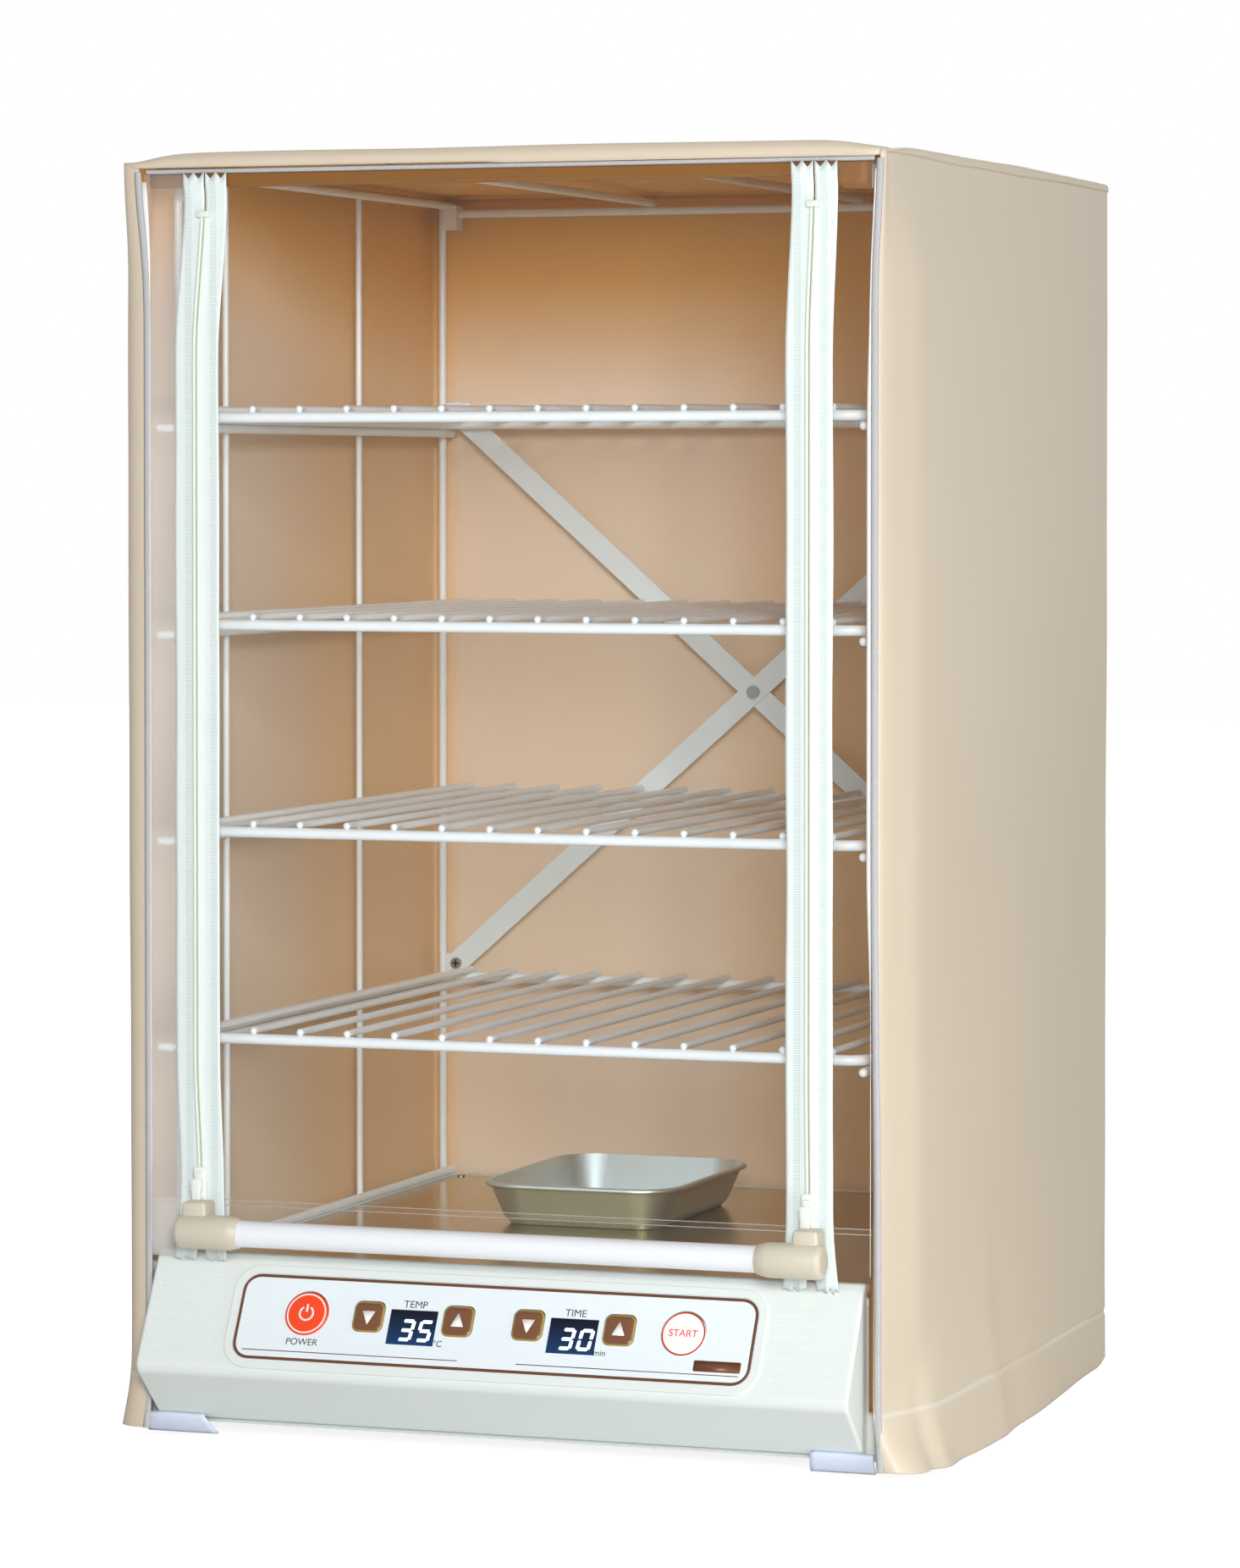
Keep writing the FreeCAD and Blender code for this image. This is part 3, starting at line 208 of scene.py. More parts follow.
def clearFilm(name, haze, edge):
    # thin clear sheet, a little milky along the left border
    paint = Paint(name)
    spot = paint.place()
    x, y, z = paint.axes(spot)
    smear = paint.cloud(paint.stretched(spot, (6.0, 6.0, 1.6)), 1.0, 4.0)
    facing = paint.add("ShaderNodeLayerWeight", {"Blend": 0.35}, "Facing")
    border = ((filmLook["borderX"] - x) / (5 * mm)).limit() * filmLook["border"] * (0.6 + smear * 0.8)
    border = border * (((700 * mm - z) / (160 * mm)).limit() * 0.6 + 0.4)
    return paint.surface({"Base Color": warmWhite, "Roughness": 0.12 + smear * 0.1, "IOR": 1.5,
                          "Alpha": (border + haze + facing ** 3 * edge).limit()})


def tapeCloth(name, zipX):
    paint = Paint(name)
    spot = paint.place()
    x, y, z = paint.axes(spot)
    away = abs(abs(x) - zipX)
    band = (away > 5.4 * mm) * (away < 9.4 * mm)  # where the film is pressed into the tape
    ladder = waves(z, 1.3 * mm) * 0.5 + 0.5
    weave = waves(x, 0.55 * mm) * waves(z, 0.55 * mm)
    soft = paint.cloud(spot, 60.0, 3.0)
    base = paint.mixed(soft, tone(229, 241, 239), tone(238, 248, 246))
    base = paint.mixed(band * ladder * 0.8, base, tone(196, 212, 210))
    height = weave * (1 - band) * 0.4 + ladder * band
    return paint.surface({"Base Color": base, "Roughness": 0.62, "Sheen Weight": 0.15,
                          "Normal": paint.bump(height, 0.5, 0.18 * mm)})


def ribbed(name, low, high, pitch):
    # close ribs across a binding, along x on its top and along z on its uprights; the darker grey in the
    # troughs between the ribs is painted shade
    paint = Paint(name)
    x, y, z = paint.axes(paint.place())
    rib = waves(x + z, pitch) * 0.5 + 0.5
    return paint.surface({"Base Color": paint.mixed(rib, low, high), "Roughness": 0.55,
                          "Normal": paint.bump(rib, 0.5, 0.2 * mm)})


def brushed(name, colour, rough, stretch, tarnish):
    paint = Paint(name)
    spot = paint.place()
    lines = paint.cloud(paint.stretched(spot, stretch), 1.0, 4.0, 0.65)
    soft = paint.cloud(spot, 12.0, 3.0)
    base = paint.mixed(soft, shaded(colour, 1 - tarnish), colour)
    return paint.surface({"Base Color": base, "Metallic": 1.0,
                          "Roughness": rough + (lines - 0.5) * 0.16 + (soft - 0.5) * 0.05,
                          "Normal": paint.bump(lines, 0.12, 0.03 * mm)})


def coated(name, colour, rough):
    # dipped coating on wire: a slow swell and a fine orange peel
    paint = Paint(name)
    spot = paint.place()
    peel = paint.cloud(spot, 700.0, 2.0)
    swell = paint.cloud(spot, 45.0, 2.0)
    return paint.surface({"Base Color": paint.mixed(swell, shaded(colour, 0.96), shaded(colour, 1.02)),
                          "Roughness": rough + (peel - 0.5) * 0.12, "Coat Weight": 0.15,
                          "Normal": paint.bump(peel * 0.5 + swell * 2.0, 0.2, 0.12 * mm)})


def glowing(name, colour, light, strength):
    paint = Paint(name)
    soft = paint.cloud(paint.place(), 300.0, 1.0)
    return paint.surface({"Base Color": colour, "Roughness": 0.3, "Emission Strength": strength,
                          "Emission Color": paint.mixed(soft, shaded(light, 0.9), light)})


def displayPane(name, lowZ, highZ):
    # dark pane whose lower half is lit by its own digits
    paint = Paint(name)
    x, y, z = paint.axes(paint.place())
    rise = ((z - lowZ) / (highZ - lowZ)).limit()
    glow = paint.mixed(rise ** 0.6, tone(30, 84, 150), tone(2, 6, 20))
    return paint.surface({"Base Color": tone(6, 8, 16), "Roughness": 0.3, "Specular IOR Level": 0.15,
                          "Emission Color": glow, "Emission Strength": 0.75})


# places that the pieces share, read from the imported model
lidLow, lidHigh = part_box("cover_top")
halfWidth = lidHigh.x
frontY = lidLow.y
backY = lidHigh.y
topZ = lidHigh.z
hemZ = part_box("cover_back")[0].z
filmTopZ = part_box("window_film")[1].z
tapeGap = 0.4 * mm
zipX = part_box("inner_zip_tapes")[1].x + tapeGap
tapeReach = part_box("outer_zip_tapes")[1].x - zipX - tapeGap
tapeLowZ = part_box("outer_zip_tapes")[0].z
sliderLow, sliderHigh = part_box("zip_sliders")
stopLow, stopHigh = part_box("zip_top_stops")
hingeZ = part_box("front_binding")[1].z - 5.6 * mm

tempLow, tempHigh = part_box("temp_display")
finishTable = {
    "vinylOut": (vinyl, "outside"),
    "vinylIn": (vinyl, "lining"),
    # a darker copy of the lining: painted shade
    "vinylTurn": (vinyl, "turned"),
    "film": (clearFilm, 0.012, 0.2),
    "filmEdge": (clearFilm, 0.3, 0.25),
    "filmFold": (clearFilm, 0.75, 0.25),
    "tape": (tapeCloth, zipX),
    "coil": (moulded, tone(226, 237, 224), 0.4),
    "slider": (moulded, tone(236, 243, 237), 0.34),
    "rib": (ribbed, tone(146, 146, 150), tone(222, 222, 224), 1.3 * mm),
    "tab": (moulded, tone(212, 221, 240), 0.5, 1300.0, 0.06),
    "bar": (moulded, tone(243, 247, 252), 0.24, 1800.0, 0.01, 0.015),
    "cap": (moulded, tone(212, 205, 187), 0.42),
    "housing": (moulded, tone(231, 239, 237), 0.4, 2600.0, 0.03, 0.02),
    # the housing plastic made darker: painted shade, so the pan's lit front matches the shaded fascia
    # underside
    "pan": (moulded, tone(207, 215, 212), 0.45, 2600.0, 0.03, 0.02),
    "overlay": (moulded, tone(236, 246, 251), 0.22, 3000.0, 0.01, 0.01),
    "brown": (moulded, tone(104, 58, 26), 0.35),
    "keyBrown": (moulded, tone(116, 70, 38), 0.3, 2400.0, 0.03),
    "keyEdge": (moulded, tone(166, 142, 66), 0.35),
    "orange": (moulded, tone(250, 68, 8), 0.32),
    "white": (moulded, tone(250, 248, 246), 0.35),
    "ink": (moulded, tone(52, 46, 46), 0.5),
    "digit": (glowing, tone(230, 240, 255), tone(214, 234, 255), 1.0),
    "wire": (coated, tone(242, 250, 254), 0.32),
    "brace": (coated, tone(234, 246, 251), 0.45),
    # brushed metal tinted brown: painted reflection of the brown lining, on top of the metal's real
    # reflections
    "deck": (brushed, tone(184, 160, 108), 0.2, (5.0, 500.0, 5.0), 0.08),
    "steel": (brushed, tone(226, 242, 246), 0.46, (260.0, 8.0, 30.0), 0.05),
    "zinc": (brushed, tone(166, 166, 160), 0.42, (400.0, 400.0, 400.0), 0.15),
    "board": (moulded, tone(40, 92, 52), 0.45),
    "black": (moulded, tone(34, 34, 36), 0.45),
    "iron": (brushed, tone(110, 106, 100), 0.5, (40.0, 40.0, 900.0), 0.2),
    "ribbon": (moulded, tone(150, 150, 156), 0.5),
    "wool": (moulded, tone(226, 216, 182), 0.9, 600.0, 0.4),
    "rubber": (moulded, tone(226, 228, 228), 0.7, 1500.0, 0.05),
    "pane": (displayPane, tempLow.z, tempHigh.z),
}
finishes = {name: make(name, *values) for name, (make, *values) in finishTable.items()}
print("finishes made:", len(finishes))

# finishes of the pieces that stay as they were packed
nodeFinish = {
    "housing": ["base_rim", "fascia"],
    "pan": ["base_pan"],
    "overlay": ["panel_overlay"],
    "pane": ["temp_display", "time_display"],
    "wire": ["left_side_frame", "right_side_frame", "top_grid", "shelf_1", "shelf_2", "shelf_3", "shelf_4"],
    "brace": ["brace_bar_rising", "brace_bar_falling", "brace_brackets"],
    "white": ["top_corner_clips"],
    "deck": ["deck_plate"],
    "steel": ["water_tray"],
    "zinc": ["deck_screws", "base_screws", "fascia_screws", "board_screws", "brace_screws", "brace_rivet",
             "thermal_cutout", "temperature_sensor"],
    "iron": ["heater_element", "heater_straps", "transformer"],
    "board": ["control_board", "power_board"],
    "black": ["tact_switches", "relay"],
    "ribbon": ["ribbon_cable"],
    "wool": ["insulation_pad"],
    "rubber": ["rubber_feet", "cord_bushing"],
    "bar": ["handle_bar"],
}
for finishName, nodes in nodeFinish.items():
    for node in nodes:
        mesh = frame["nodes"][node].data
        mesh.materials.clear()
        mesh.materials.append(finishes[finishName])


# modelling helpers
def lengths(sizes):
    # millimetres to metres
    return {name: value * mm for name, value in sizes.items()}


def unit(value):
    return max(0.0, min(1.0, value))


def ease(value):
    value = unit(value)
    return value * value * (3 - 2 * value)


def ramp(value, start, span):
    return ease((value - start * mm) / (span * mm))


def fade(value, span):
    return ease(1 - value / (span * mm))


def hump(value, width):
    return math.exp(-(value / width) ** 2)


def ripple(x, y, z):
    return noise.noise(Vector((x, y, z)))


def placed(name, data):
    thing = bpy.data.objects.new(name, data)
    bpy.context.collection.objects.link(thing)
    return thing


def pieceFrom(bm, name, body, finishNames, replaced=()):
    mesh = bpy.data.meshes.new(name)
    bm.to_mesh(mesh)
    bm.free()
    for finishName in finishNames:
        mesh.materials.append(finishes[finishName])
    mesh.shade_smooth()
    piece = placed(name, mesh)
    if body:
        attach(piece, body)
    if replaced:
        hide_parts(*replaced)
    return piece


def thickened(piece, thickness, offset=-1.0, inner=0, levels=0):
    if levels:
        rounder = piece.modifiers.new("rounder", "SUBSURF")
        rounder.levels = levels
        rounder.render_levels = levels
    wall = piece.modifiers.new("wall", "SOLIDIFY")
    wall.thickness = thickness
    wall.offset = offset
    wall.material_offset = inner
    return piece


def facedOut(bm):
    bmesh.ops.recalc_face_normals(bm, faces=bm.faces[:])


def vertsOf(made):
    return [item for item in made if isinstance(item, bmesh.types.BMVert)]


def block(bm, low, high):
    low = Vector(low)
    high = Vector(high)
    matrix = Matrix.LocRotScale((low + high) / 2, None, high - low)
    return bmesh.ops.create_cube(bm, size=1.0, matrix=matrix)["verts"]


def rounded(bm, geom, radius, segments, affect="EDGES"):
    bmesh.ops.bevel(bm, geom=geom, offset=radius, offset_type="OFFSET", segments=segments, profile=0.5,
                    affect=affect, clamp_overlap=True, material=-1)


def softBlock(bm, low, high, radius, segments=3):
    corners = block(bm, low, high)
    edges = {edge for corner in corners for edge in corner.link_edges}
    rounded(bm, list(edges), radius, segments)


def sliced(bm, axis, start, end, count):
    normal = Vector((0, 0, 0))
    normal[axis] = 1.0
    for step in range(count + 1):
        place = normal * (start + (end - start) * step / count)
        bmesh.ops.bisect_plane(bm, geom=bm.verts[:] + bm.edges[:] + bm.faces[:], dist=1e-6, plane_co=place,
                               plane_no=normal)


def strip(bm, columns, rows):
    # flat grid facing +Z: each vertex with its shares across and along, 0 to 1
    made = bmesh.ops.create_grid(bm, x_segments=columns, y_segments=rows, size=0.5)["verts"]
    return [(vert, vert.co.x + 0.5, vert.co.y + 0.5) for vert in made]


def lathe(bm, profile, centre, axis, steps=48):
    # profile is (along, radius) pairs; it is spun about the axis through the centre
    axis = Vector(axis)
    side = axis.orthogonal().normalized()
    spots = [bm.verts.new(Vector(centre) + axis * along + side * radius) for along, radius in profile]
    edges = [bm.edges.new(pair) for pair in zip(spots, spots[1:])]
    bmesh.ops.spin(bm, geom=spots + edges, cent=centre, axis=axis, angle=2 * math.pi, steps=steps,
                   use_merge=True, use_duplicate=False)
    bmesh.ops.remove_doubles(bm, verts=bm.verts[:], dist=1e-7)
    facedOut(bm)


# camera and studio
studio = {"at": (1.0899, -3.0555, 0.5345), "pitch": 88.5, "yaw": 19.754, "lens": 129.51, "shift": -0.10106,
          "world": 0.22, "floor": tone(243, 242, 240), "floorLift": 0.85, "aim": (0.0, 0.0, 0.36),
          "lamps": {"front": ((1.22, -2.99, 1.05), 0.8, 68.0), "over": ((0.2, 0.3, 3.0), 2.6, 1.5),
                    "low": ((1.0, -0.46, 0.13), 0.24, 2.7), "back": ((-0.8, 2.9, 1.2), 1.6, 26.0)}}
camera = placed("camera", bpy.data.cameras.new("camera"))
camera.location = studio["at"]
camera.rotation_euler = (math.radians(studio["pitch"]), 0, math.radians(studio["yaw"]))
camera.data.sensor_width = 36.0
camera.data.lens = studio["lens"]
camera.data.shift_y = studio["shift"]
scene = bpy.context.scene
scene.camera = camera
scene.view_settings.view_transform = "Standard"

# the paper behind is white to the eye, and lights the object less
sky = Paint("studio", True)
seen = sky.add("ShaderNodeLightPath", {}, "Is Camera Ray")
for rays in ("Is Transmission Ray", "Is Glossy Ray"):
    seen = seen.maths("MAXIMUM", seen, sky.add("ShaderNodeLightPath", {}, rays))
lamp = sky.add("ShaderNodeBackground", {"Color": warmWhite, "Strength": studio["world"]})
paper = sky.add("ShaderNodeBackground", {"Color": (1.0, 1.0, 1.0, 1.0), "Strength": 1.0})
scene.world = sky.finish(sky.add("ShaderNodeMixShader", {0: seen, 1: lamp, 2: paper}))

for name, (at, size, power) in studio["lamps"].items():
    light = bpy.data.lights.new(name, "AREA")
    light.shape = "SQUARE"
    light.size = size
    light.energy = power
    softbox = placed(name, light)
    softbox.location = at
    softbox.rotation_euler = (Vector(studio["aim"]) - Vector(at)).to_track_quat("-Z", "Y").to_euler()

ground = Paint("floor")
rays = ground.add("ShaderNodeLightPath", {}, "Is Camera Ray")
base = ground.add("ShaderNodeBsdfPrincipled", {"Base Color": studio["floor"], "Roughness": 0.9})
glow = ground.add("ShaderNodeEmission", {"Strength": rays * studio["floorLift"]})
ground.finish(ground.add("ShaderNodeAddShader", {0: base, 1: glow}))
bm = bmesh.new()
bmesh.ops.create_grid(bm, x_segments=1, y_segments=1, size=9.0)
mesh = bpy.data.meshes.new("floor")
bm.to_mesh(mesh)
bm.free()
mesh.materials.append(ground.owner)
placed("floor", mesh)
print("camera and studio set")


# vinyl wrap: both sides and the back, with its turned-in front edges
wrap = lengths({"round": 6.5, "turnIn": 9, "sheet": 0.8, "rise": 1.0, "weldDepth": 0.8, "weldWide": 1.4,
                "puff": 7.0, "puffLong": 50, "flareRight": 20, "flareLeft": 5, "flareHigh": 42, "kick": 3,
                "hemDrop": 3.2, "hemRise": 4.6, "hemBack": 5, "backOut": 2.6, "lowOut": 2.2, "fold": 1.5,
                "fine": 0.5, "crease": 4.5, "ridge": 1.2, "backFold": 1.3, "edgeLeft": 6.8, "edgeLong": 120,
                "leanLeft": 5.5, "leanRight": 3, "leanHigh": 95})
wrap.update({"softer": 2.4, "narrow": 0.63})


def leanOut(x, z):
    # the front edges stand further out towards the top corners
    size = wrap["leanRight"] if x > 0 else wrap["leanLeft"]
    return size * ease((z - topZ + wrap["leanHigh"]) / wrap["leanHigh"]) ** 1.6


def flareOut(x, y, z):
    # the hem swings out at the front corners and comes back in towards the back
    away = (y - frontY) / mm
    low = unit(1 - (z - hemZ) / (wrap["flareHigh"] * (1 + ease(away / 90))))
    along = 1 - 0.38 * ease((away - 20) / 70) - 0.1 * ease((away - 150) / 80)
    along -= 0.52 * ease((away - 220) / 232)
    size = wrap["flareRight"] if x > 0 else wrap["flareLeft"]
    return size * low ** 1.5 * along


def hemShift(x, y):
    # the hem is lifted at the front corners, sags behind them and rises again at the back
    away = (y - frontY) / mm
    lift = wrap["hemRise"] * (1 - ease(away / (75 if x > 0 else 120)))
    lift += wrap["hemBack"] * ease((away - 430) / 22)
    return lift - wrap["hemDrop"] * ease((away - 50) / 110)


def backOut(y):
    # the right side stands further out towards the back
    return wrap["backOut"] * ramp(y - frontY, 150, 250)


def lowOut(z):
    # the right front edge stands further out towards the foot
    return wrap["lowOut"] * fade(z - 100 * mm, 250)


def weldHeight(y):
    return vinylLook["weldZ"] + (y - frontY) * vinylLook["weldRise"]


bm = bmesh.new()
block(bm, (-halfWidth, frontY, hemZ), (halfWidth, backY, topZ + wrap["rise"]))
bm.normal_update()
bmesh.ops.delete(bm, geom=[face for face in bm.faces if abs(face.normal.z) > 0.5 or face.normal.y < -0.5],
                 context="FACES")
frontEdges = [edge for edge in bm.edges if all(v.co.y < frontY + mm for v in edge.verts)]
turned = bmesh.ops.extrude_edge_only(bm, edges=frontEdges)["geom"]
for vert in vertsOf(turned):
    vert.co.x -= math.copysign(wrap["turnIn"], vert.co.x)
corners = [edge for edge in bm.edges if len(edge.link_faces) == 2]
rounded(bm, corners, wrap["round"], 5)
for vert in bm.verts:
    if vert.co.y < frontY + wrap["round"] + 0.01 * mm:
        vert.co.y = frontY + (vert.co.y - frontY) * wrap["softer"]
        if vert.co.x > 0:  # the right edge is turned in less
            vert.co.x = halfWidth - (halfWidth - vert.co.x) * wrap["narrow"]
sliced(bm, 2, hemZ + 2 * mm, 27 * mm, 8)
sliced(bm, 2, 29 * mm, 44 * mm, 20)
sliced(bm, 2, 50 * mm, topZ - 6 * mm, 48)
sliced(bm, 1, frontY + wrap["round"] * wrap["softer"] + 3 * mm, frontY + 80 * mm, 12)
sliced(bm, 1, frontY + 90 * mm, backY - wrap["round"] - 2 * mm, 30)
sliced(bm, 0, -halfWidth + wrap["round"] + 2 * mm, halfWidth - wrap["round"] - 2 * mm, 22)
for vert in bm.verts:
    x, y, z = vert.co
    side = math.copysign(1.0, x)
    back = y - frontY
    rise = z - hemZ
    onSide = unit((abs(x) - halfWidth + 7 * mm) / (7 * mm))
    onBack = unit((y - backY + 7 * mm) / (7 * mm))
    tied = ease((topZ - z) / (70 * mm))
    low = fade(rise, 70)
    weld = wrap["weldDepth"] * hump(z - weldHeight(y), wrap["weldWide"]) * (x > 0 or y > 0)
    fold = wrap["fold"] * ripple(y * 6.5, z * 2.0, 4.0 + side) * tied
    fold += wrap["fine"] * ripple(y * 16.0, z * 9.0, 9.0 + side) * tied
    # a diagonal crease runs down to the flared corner, and a soft one stands behind it
    crease = wrap["crease"] * low * hump(back - 30 * mm - rise * 0.2, 9 * mm)
    crease *= 1 if x > 0 else 0.3
    ridge = wrap["ridge"] * fade(rise, 170) * hump(back - 178 * mm, 12 * mm) * (x > 0)
    puff = wrap["puff"] * ease(back / wrap["puffLong"])
    puff *= 1 - ease(back / (420 * mm))
    backFold = wrap["backFold"] * ripple(x * 7.0, z * 2.2, 15.0) * tied
    flare = flareOut(x, y, z) * (0.15 + 0.85 * onSide)
    swell = backOut(y) * (x > 0)
    vert.co.x += side * (flare + onSide * (fold + puff * tied + ridge + swell - crease - weld))
    vert.co.y += onBack * (backFold - weld) - wrap["kick"] * low ** 2 * hump(back, 30 * mm)
    if y < frontY + 4 * mm:
        vert.co.x += side * leanOut(x, z) * (1 - 0.3 * onSide)
    if x < 0:  # the left front edge stands out past the base
        rim = unit((abs(x) - halfWidth + wrap["turnIn"]) / (wrap["turnIn"] * 0.8))
        vert.co.x -= wrap["edgeLeft"] * rim * (1 - ease((back - 20 * mm) / wrap["edgeLong"]))
    vert.co.z += hemShift(x, y) * unit(1 - rise / (24 * mm))
coverWrap = pieceFrom(bm, "coverWrap", cabinet, ["vinylOut", "vinylIn"],
                      ["cover_left", "cover_right", "cover_back"])
thickened(coverWrap, wrap["sheet"], -1.0, 1, 1)

# vinyl lid: laid over the top wires, its thin skirt laps the wrap and its front edge rolls over as a lip
lid = lengths({"lap": 0.5, "corner": 7, "round": 2.4, "low": -1.2, "high": 3.2, "lipDrop": 2.0,
               "lipLess": 0.8, "lipOut": 2.2, "lipWave": 0.5, "lipCrown": 2.8, "roll": 60, "sideCrown": 1.3,
               "cornerDrop": 2.4, "sheet": 0.8, "pucker": 1.3, "wave": 0.7, "skirtWave": 1.5})
bm = bmesh.new()
block(bm, (-halfWidth - lid["lap"], frontY - lid["lap"], topZ + lid["low"]),
      (halfWidth + lid["lap"], backY + lid["lap"], topZ + lid["high"]))
bm.normal_update()
bmesh.ops.delete(bm, geom=[face for face in bm.faces if face.normal.z < -0.5], context="FACES")
uprights = [edge for edge in bm.edges if abs(edge.verts[0].co.z - edge.verts[1].co.z) > mm]
rounded(bm, uprights, lid["corner"], 5)
corners = [edge for edge in bm.edges if len(edge.link_faces) == 2 and edge.calc_face_angle() > 1.0]
rounded(bm, corners, lid["round"], 4)
sliced(bm, 0, -halfWidth + lid["round"] + 2 * mm, halfWidth - lid["round"] - 2 * mm, 60)
sliced(bm, 1, frontY + lid["round"] + 1 * mm, frontY + 40 * mm, 10)
sliced(bm, 1, frontY + 50 * mm, backY - lid["round"] - 2 * mm, 34)
lidHeight = lid["high"] - lid["low"]
for vert in bm.verts:
    x, y, z = vert.co
    high = ease((z - topZ - lid["low"]) / lidHeight)
    back = y - frontY
    inX = halfWidth - abs(x)
    sideRound = 1 - (abs(x) / (halfWidth + lid["lap"])) ** 12
    nearFront = ease(1 - back / lid["roll"])
    run = unit(back / (backY - frontY))
    crown = lid["lipCrown"] * nearFront * sideRound
    crown += lid["sideCrown"] * math.sin(math.pi * run) ** 0.7
    crown -= lid["cornerDrop"] * fade(inX, 34) * nearFront
    crown += lid["wave"] * ripple(x * 9.0, y * 9.0, 2.0)
    nearCorner = fade(inX, 30) * fade(back, 60)
    pucker = lid["pucker"] * ripple(x * 55.0, y * 40.0, 5.0) * nearCorner
    lip = unit((frontY + 3 * mm - y) / (3.5 * mm))
    vert.co.z += high * (crown + pucker)
    if lip:
        vert.co.z -= (1 - high) * lip * (lid["lipDrop"] - lid["lipLess"] * (x < 0))
        belly = math.sin(math.pi * min(1.0, 0.25 + 0.75 * high)) * sideRound
        vert.co.y -= lip * (lid["lipOut"] * belly + lid["lipWave"] * ripple(x * 14.0, z * 30.0, 8.0))
    if x < 0:
        vert.co.x -= wrap["leanLeft"] * 0.8 * nearFront * fade(inX, 40)
    if x > 0:
        vert.co.x += backOut(y) * fade(inX, 60)
    skirt = (1 - high) * (1 - lip)
    vert.co.z += skirt * lid["skirtWave"] * ripple(x * 10.0, y * 10.0, 21.0)
coverLid = pieceFrom(bm, "coverLid", cabinet, ["vinylOut", "vinylIn"], ["cover_top"])
thickened(coverLid, lid["sheet"], -1.0, 1, 1)
2 * halfWidth + 2 * lidHeight
backY - frontY + 2 * lidHeight

# the lid's front edge is turned in behind the binding, and the wrap's right edge beside the fascia; both
# strips take a darker copy of the lining, painted shade
turnIn = lengths({"left": -207, "right": 209, "high": 704, "low": 693.9, "corner": 7, "cornerX": 182,
                  "cornerWide": 14, "back": 1.2, "wave": 0.4, "sheet": 0.6, "sideLow": 40, "sideHigh": 110,
                  "sideX": 209.2, "sideWide": 6})
bm = bmesh.new()
for vert, u, t in strip(bm, 60, 4):
    x = turnIn["left"] + (turnIn["right"] - turnIn["left"]) * u
    lowest = turnIn["low"] - turnIn["corner"] * ease((x - turnIn["cornerX"]) / turnIn["cornerWide"])
    z = lowest + (turnIn["high"] - lowest) * t
    y = frontY + turnIn["back"] + turnIn["wave"] * ripple(x * 20.0, z * 20.0, 6.0)
    vert.co = (x, y, z)
# the strip beside the fascia is a dark sheet of painted shade in the gap
for vert, u, t in strip(bm, 2, 12):
    z = turnIn["sideLow"] + (turnIn["sideHigh"] - turnIn["sideLow"]) * t
    x = turnIn["sideX"] + turnIn["sideWide"] * (u - 0.5) + lowOut(z)
    vert.co = (x, frontY + turnIn["back"], z)
turnInShadeStrips = pieceFrom(bm, "turnInShadeStrips", cabinet, ["vinylTurn"])
thickened(turnInShadeStrips, turnIn["sheet"])
turnIn["right"] - turnIn["left"]
turnIn["high"] - turnIn["low"]
print("vinyl cover sewn")

# ribbed binding round the front opening
binding = lengths({"width": 4.2, "top": 2.8, "crown": 0.9, "base": 0.3, "rib": 0.4, "pitch": 1.3,
                   "left": -208.4, "right": 211.4, "topZ": 702.9, "lowZ": 8.6, "sheet": 0.6})
sideLong = binding["topZ"] - binding["lowZ"]
topLong = binding["right"] - binding["left"]
bm = bmesh.new()
for startX, startZ, upright, length, width in (
        (binding["left"], binding["lowZ"], True, sideLong, binding["width"]),
        (binding["right"], binding["lowZ"], True, sideLong, binding["width"]),
        (binding["left"], binding["topZ"], False, topLong, binding["top"])):
    rows = 4 * round(length / binding["pitch"])
    for vert, u, t in strip(bm, 4, rows):
        u -= 0.5
        row = round(t * rows)
        lift = binding["crown"] * (1 - (2 * u) ** 2) + binding["base"]
        lift += binding["rib"] * (row % 4 in (1, 2)) * (1 - (2 * u) ** 6)
        x = startX + (width * u if upright else length * t)
        z = startZ + (length * t if upright else -width * u)
        if upright:
            shift = leanOut(x, z) + flareOut(x, frontY, z) * 0.15
            if x > 0:
                shift += lowOut(z)
            x += math.copysign(shift, x)
        y = frontY - lift - wrap["kick"] * ease(1 - (z - hemZ) / wrap["flareHigh"]) ** 2
        vert.co = (x, y, z)
frontBinding = pieceFrom(bm, "frontBinding", cabinet, ["rib"], ["front_binding"])
thickened(frontBinding, binding["sheet"])

# narrow fold of clear film beside each upright, widest at the left top and half way up the right; its
# near-white, mostly opaque finish is a painted glint
folds = lengths({"low": 112, "top": 10, "under": 0.4, "front": 0.25, "crown": 0.5, "sheet": 0.3,
                 "leftMin": 0.25, "leftWide": 3.0, "rightMin": 0.3, "rightWide": 2.4, "rightTop": 0.8})
bm = bmesh.new()
for side, edge in ((-1, binding["left"]), (1, binding["right"])):
    for vert, u, t in strip(bm, 3, 60):
        z = folds["low"] + (topZ - folds["top"] - folds["low"]) * t
        inner = edge - side * binding["width"] / 2 + side * folds["under"]
        if side > 0:
            high = ramp(z, 560, 80)
            wide = folds["rightMin"] + folds["rightWide"] * ramp(z, 240, 90) * (1 - high)
            wide += folds["rightTop"] * high
            x = inner + leanOut(side, z) - wide * (1 - u)
        else:
            wide = folds["leftMin"] + folds["leftWide"] * ramp(z, 625, 65)
            x = inner - leanOut(side, z) + wide * u
        vert.co = (x, frontY - folds["front"] - folds["crown"] * math.sin(math.pi * u), z)
filmGlintFolds = pieceFrom(bm, "filmGlintFolds", cabinet, ["filmFold"])
thickened(filmGlintFolds, folds["sheet"])

# clear film: window, borders and sill
film = lengths({"sheet": 0.4, "sag": 1.0, "borderSag": 0.5, "sillSag": 0.3, "hem": 3.4, "hemLine": 0.5,
                "bendZ": 14, "sillRise": 4, "borderGap": 5})


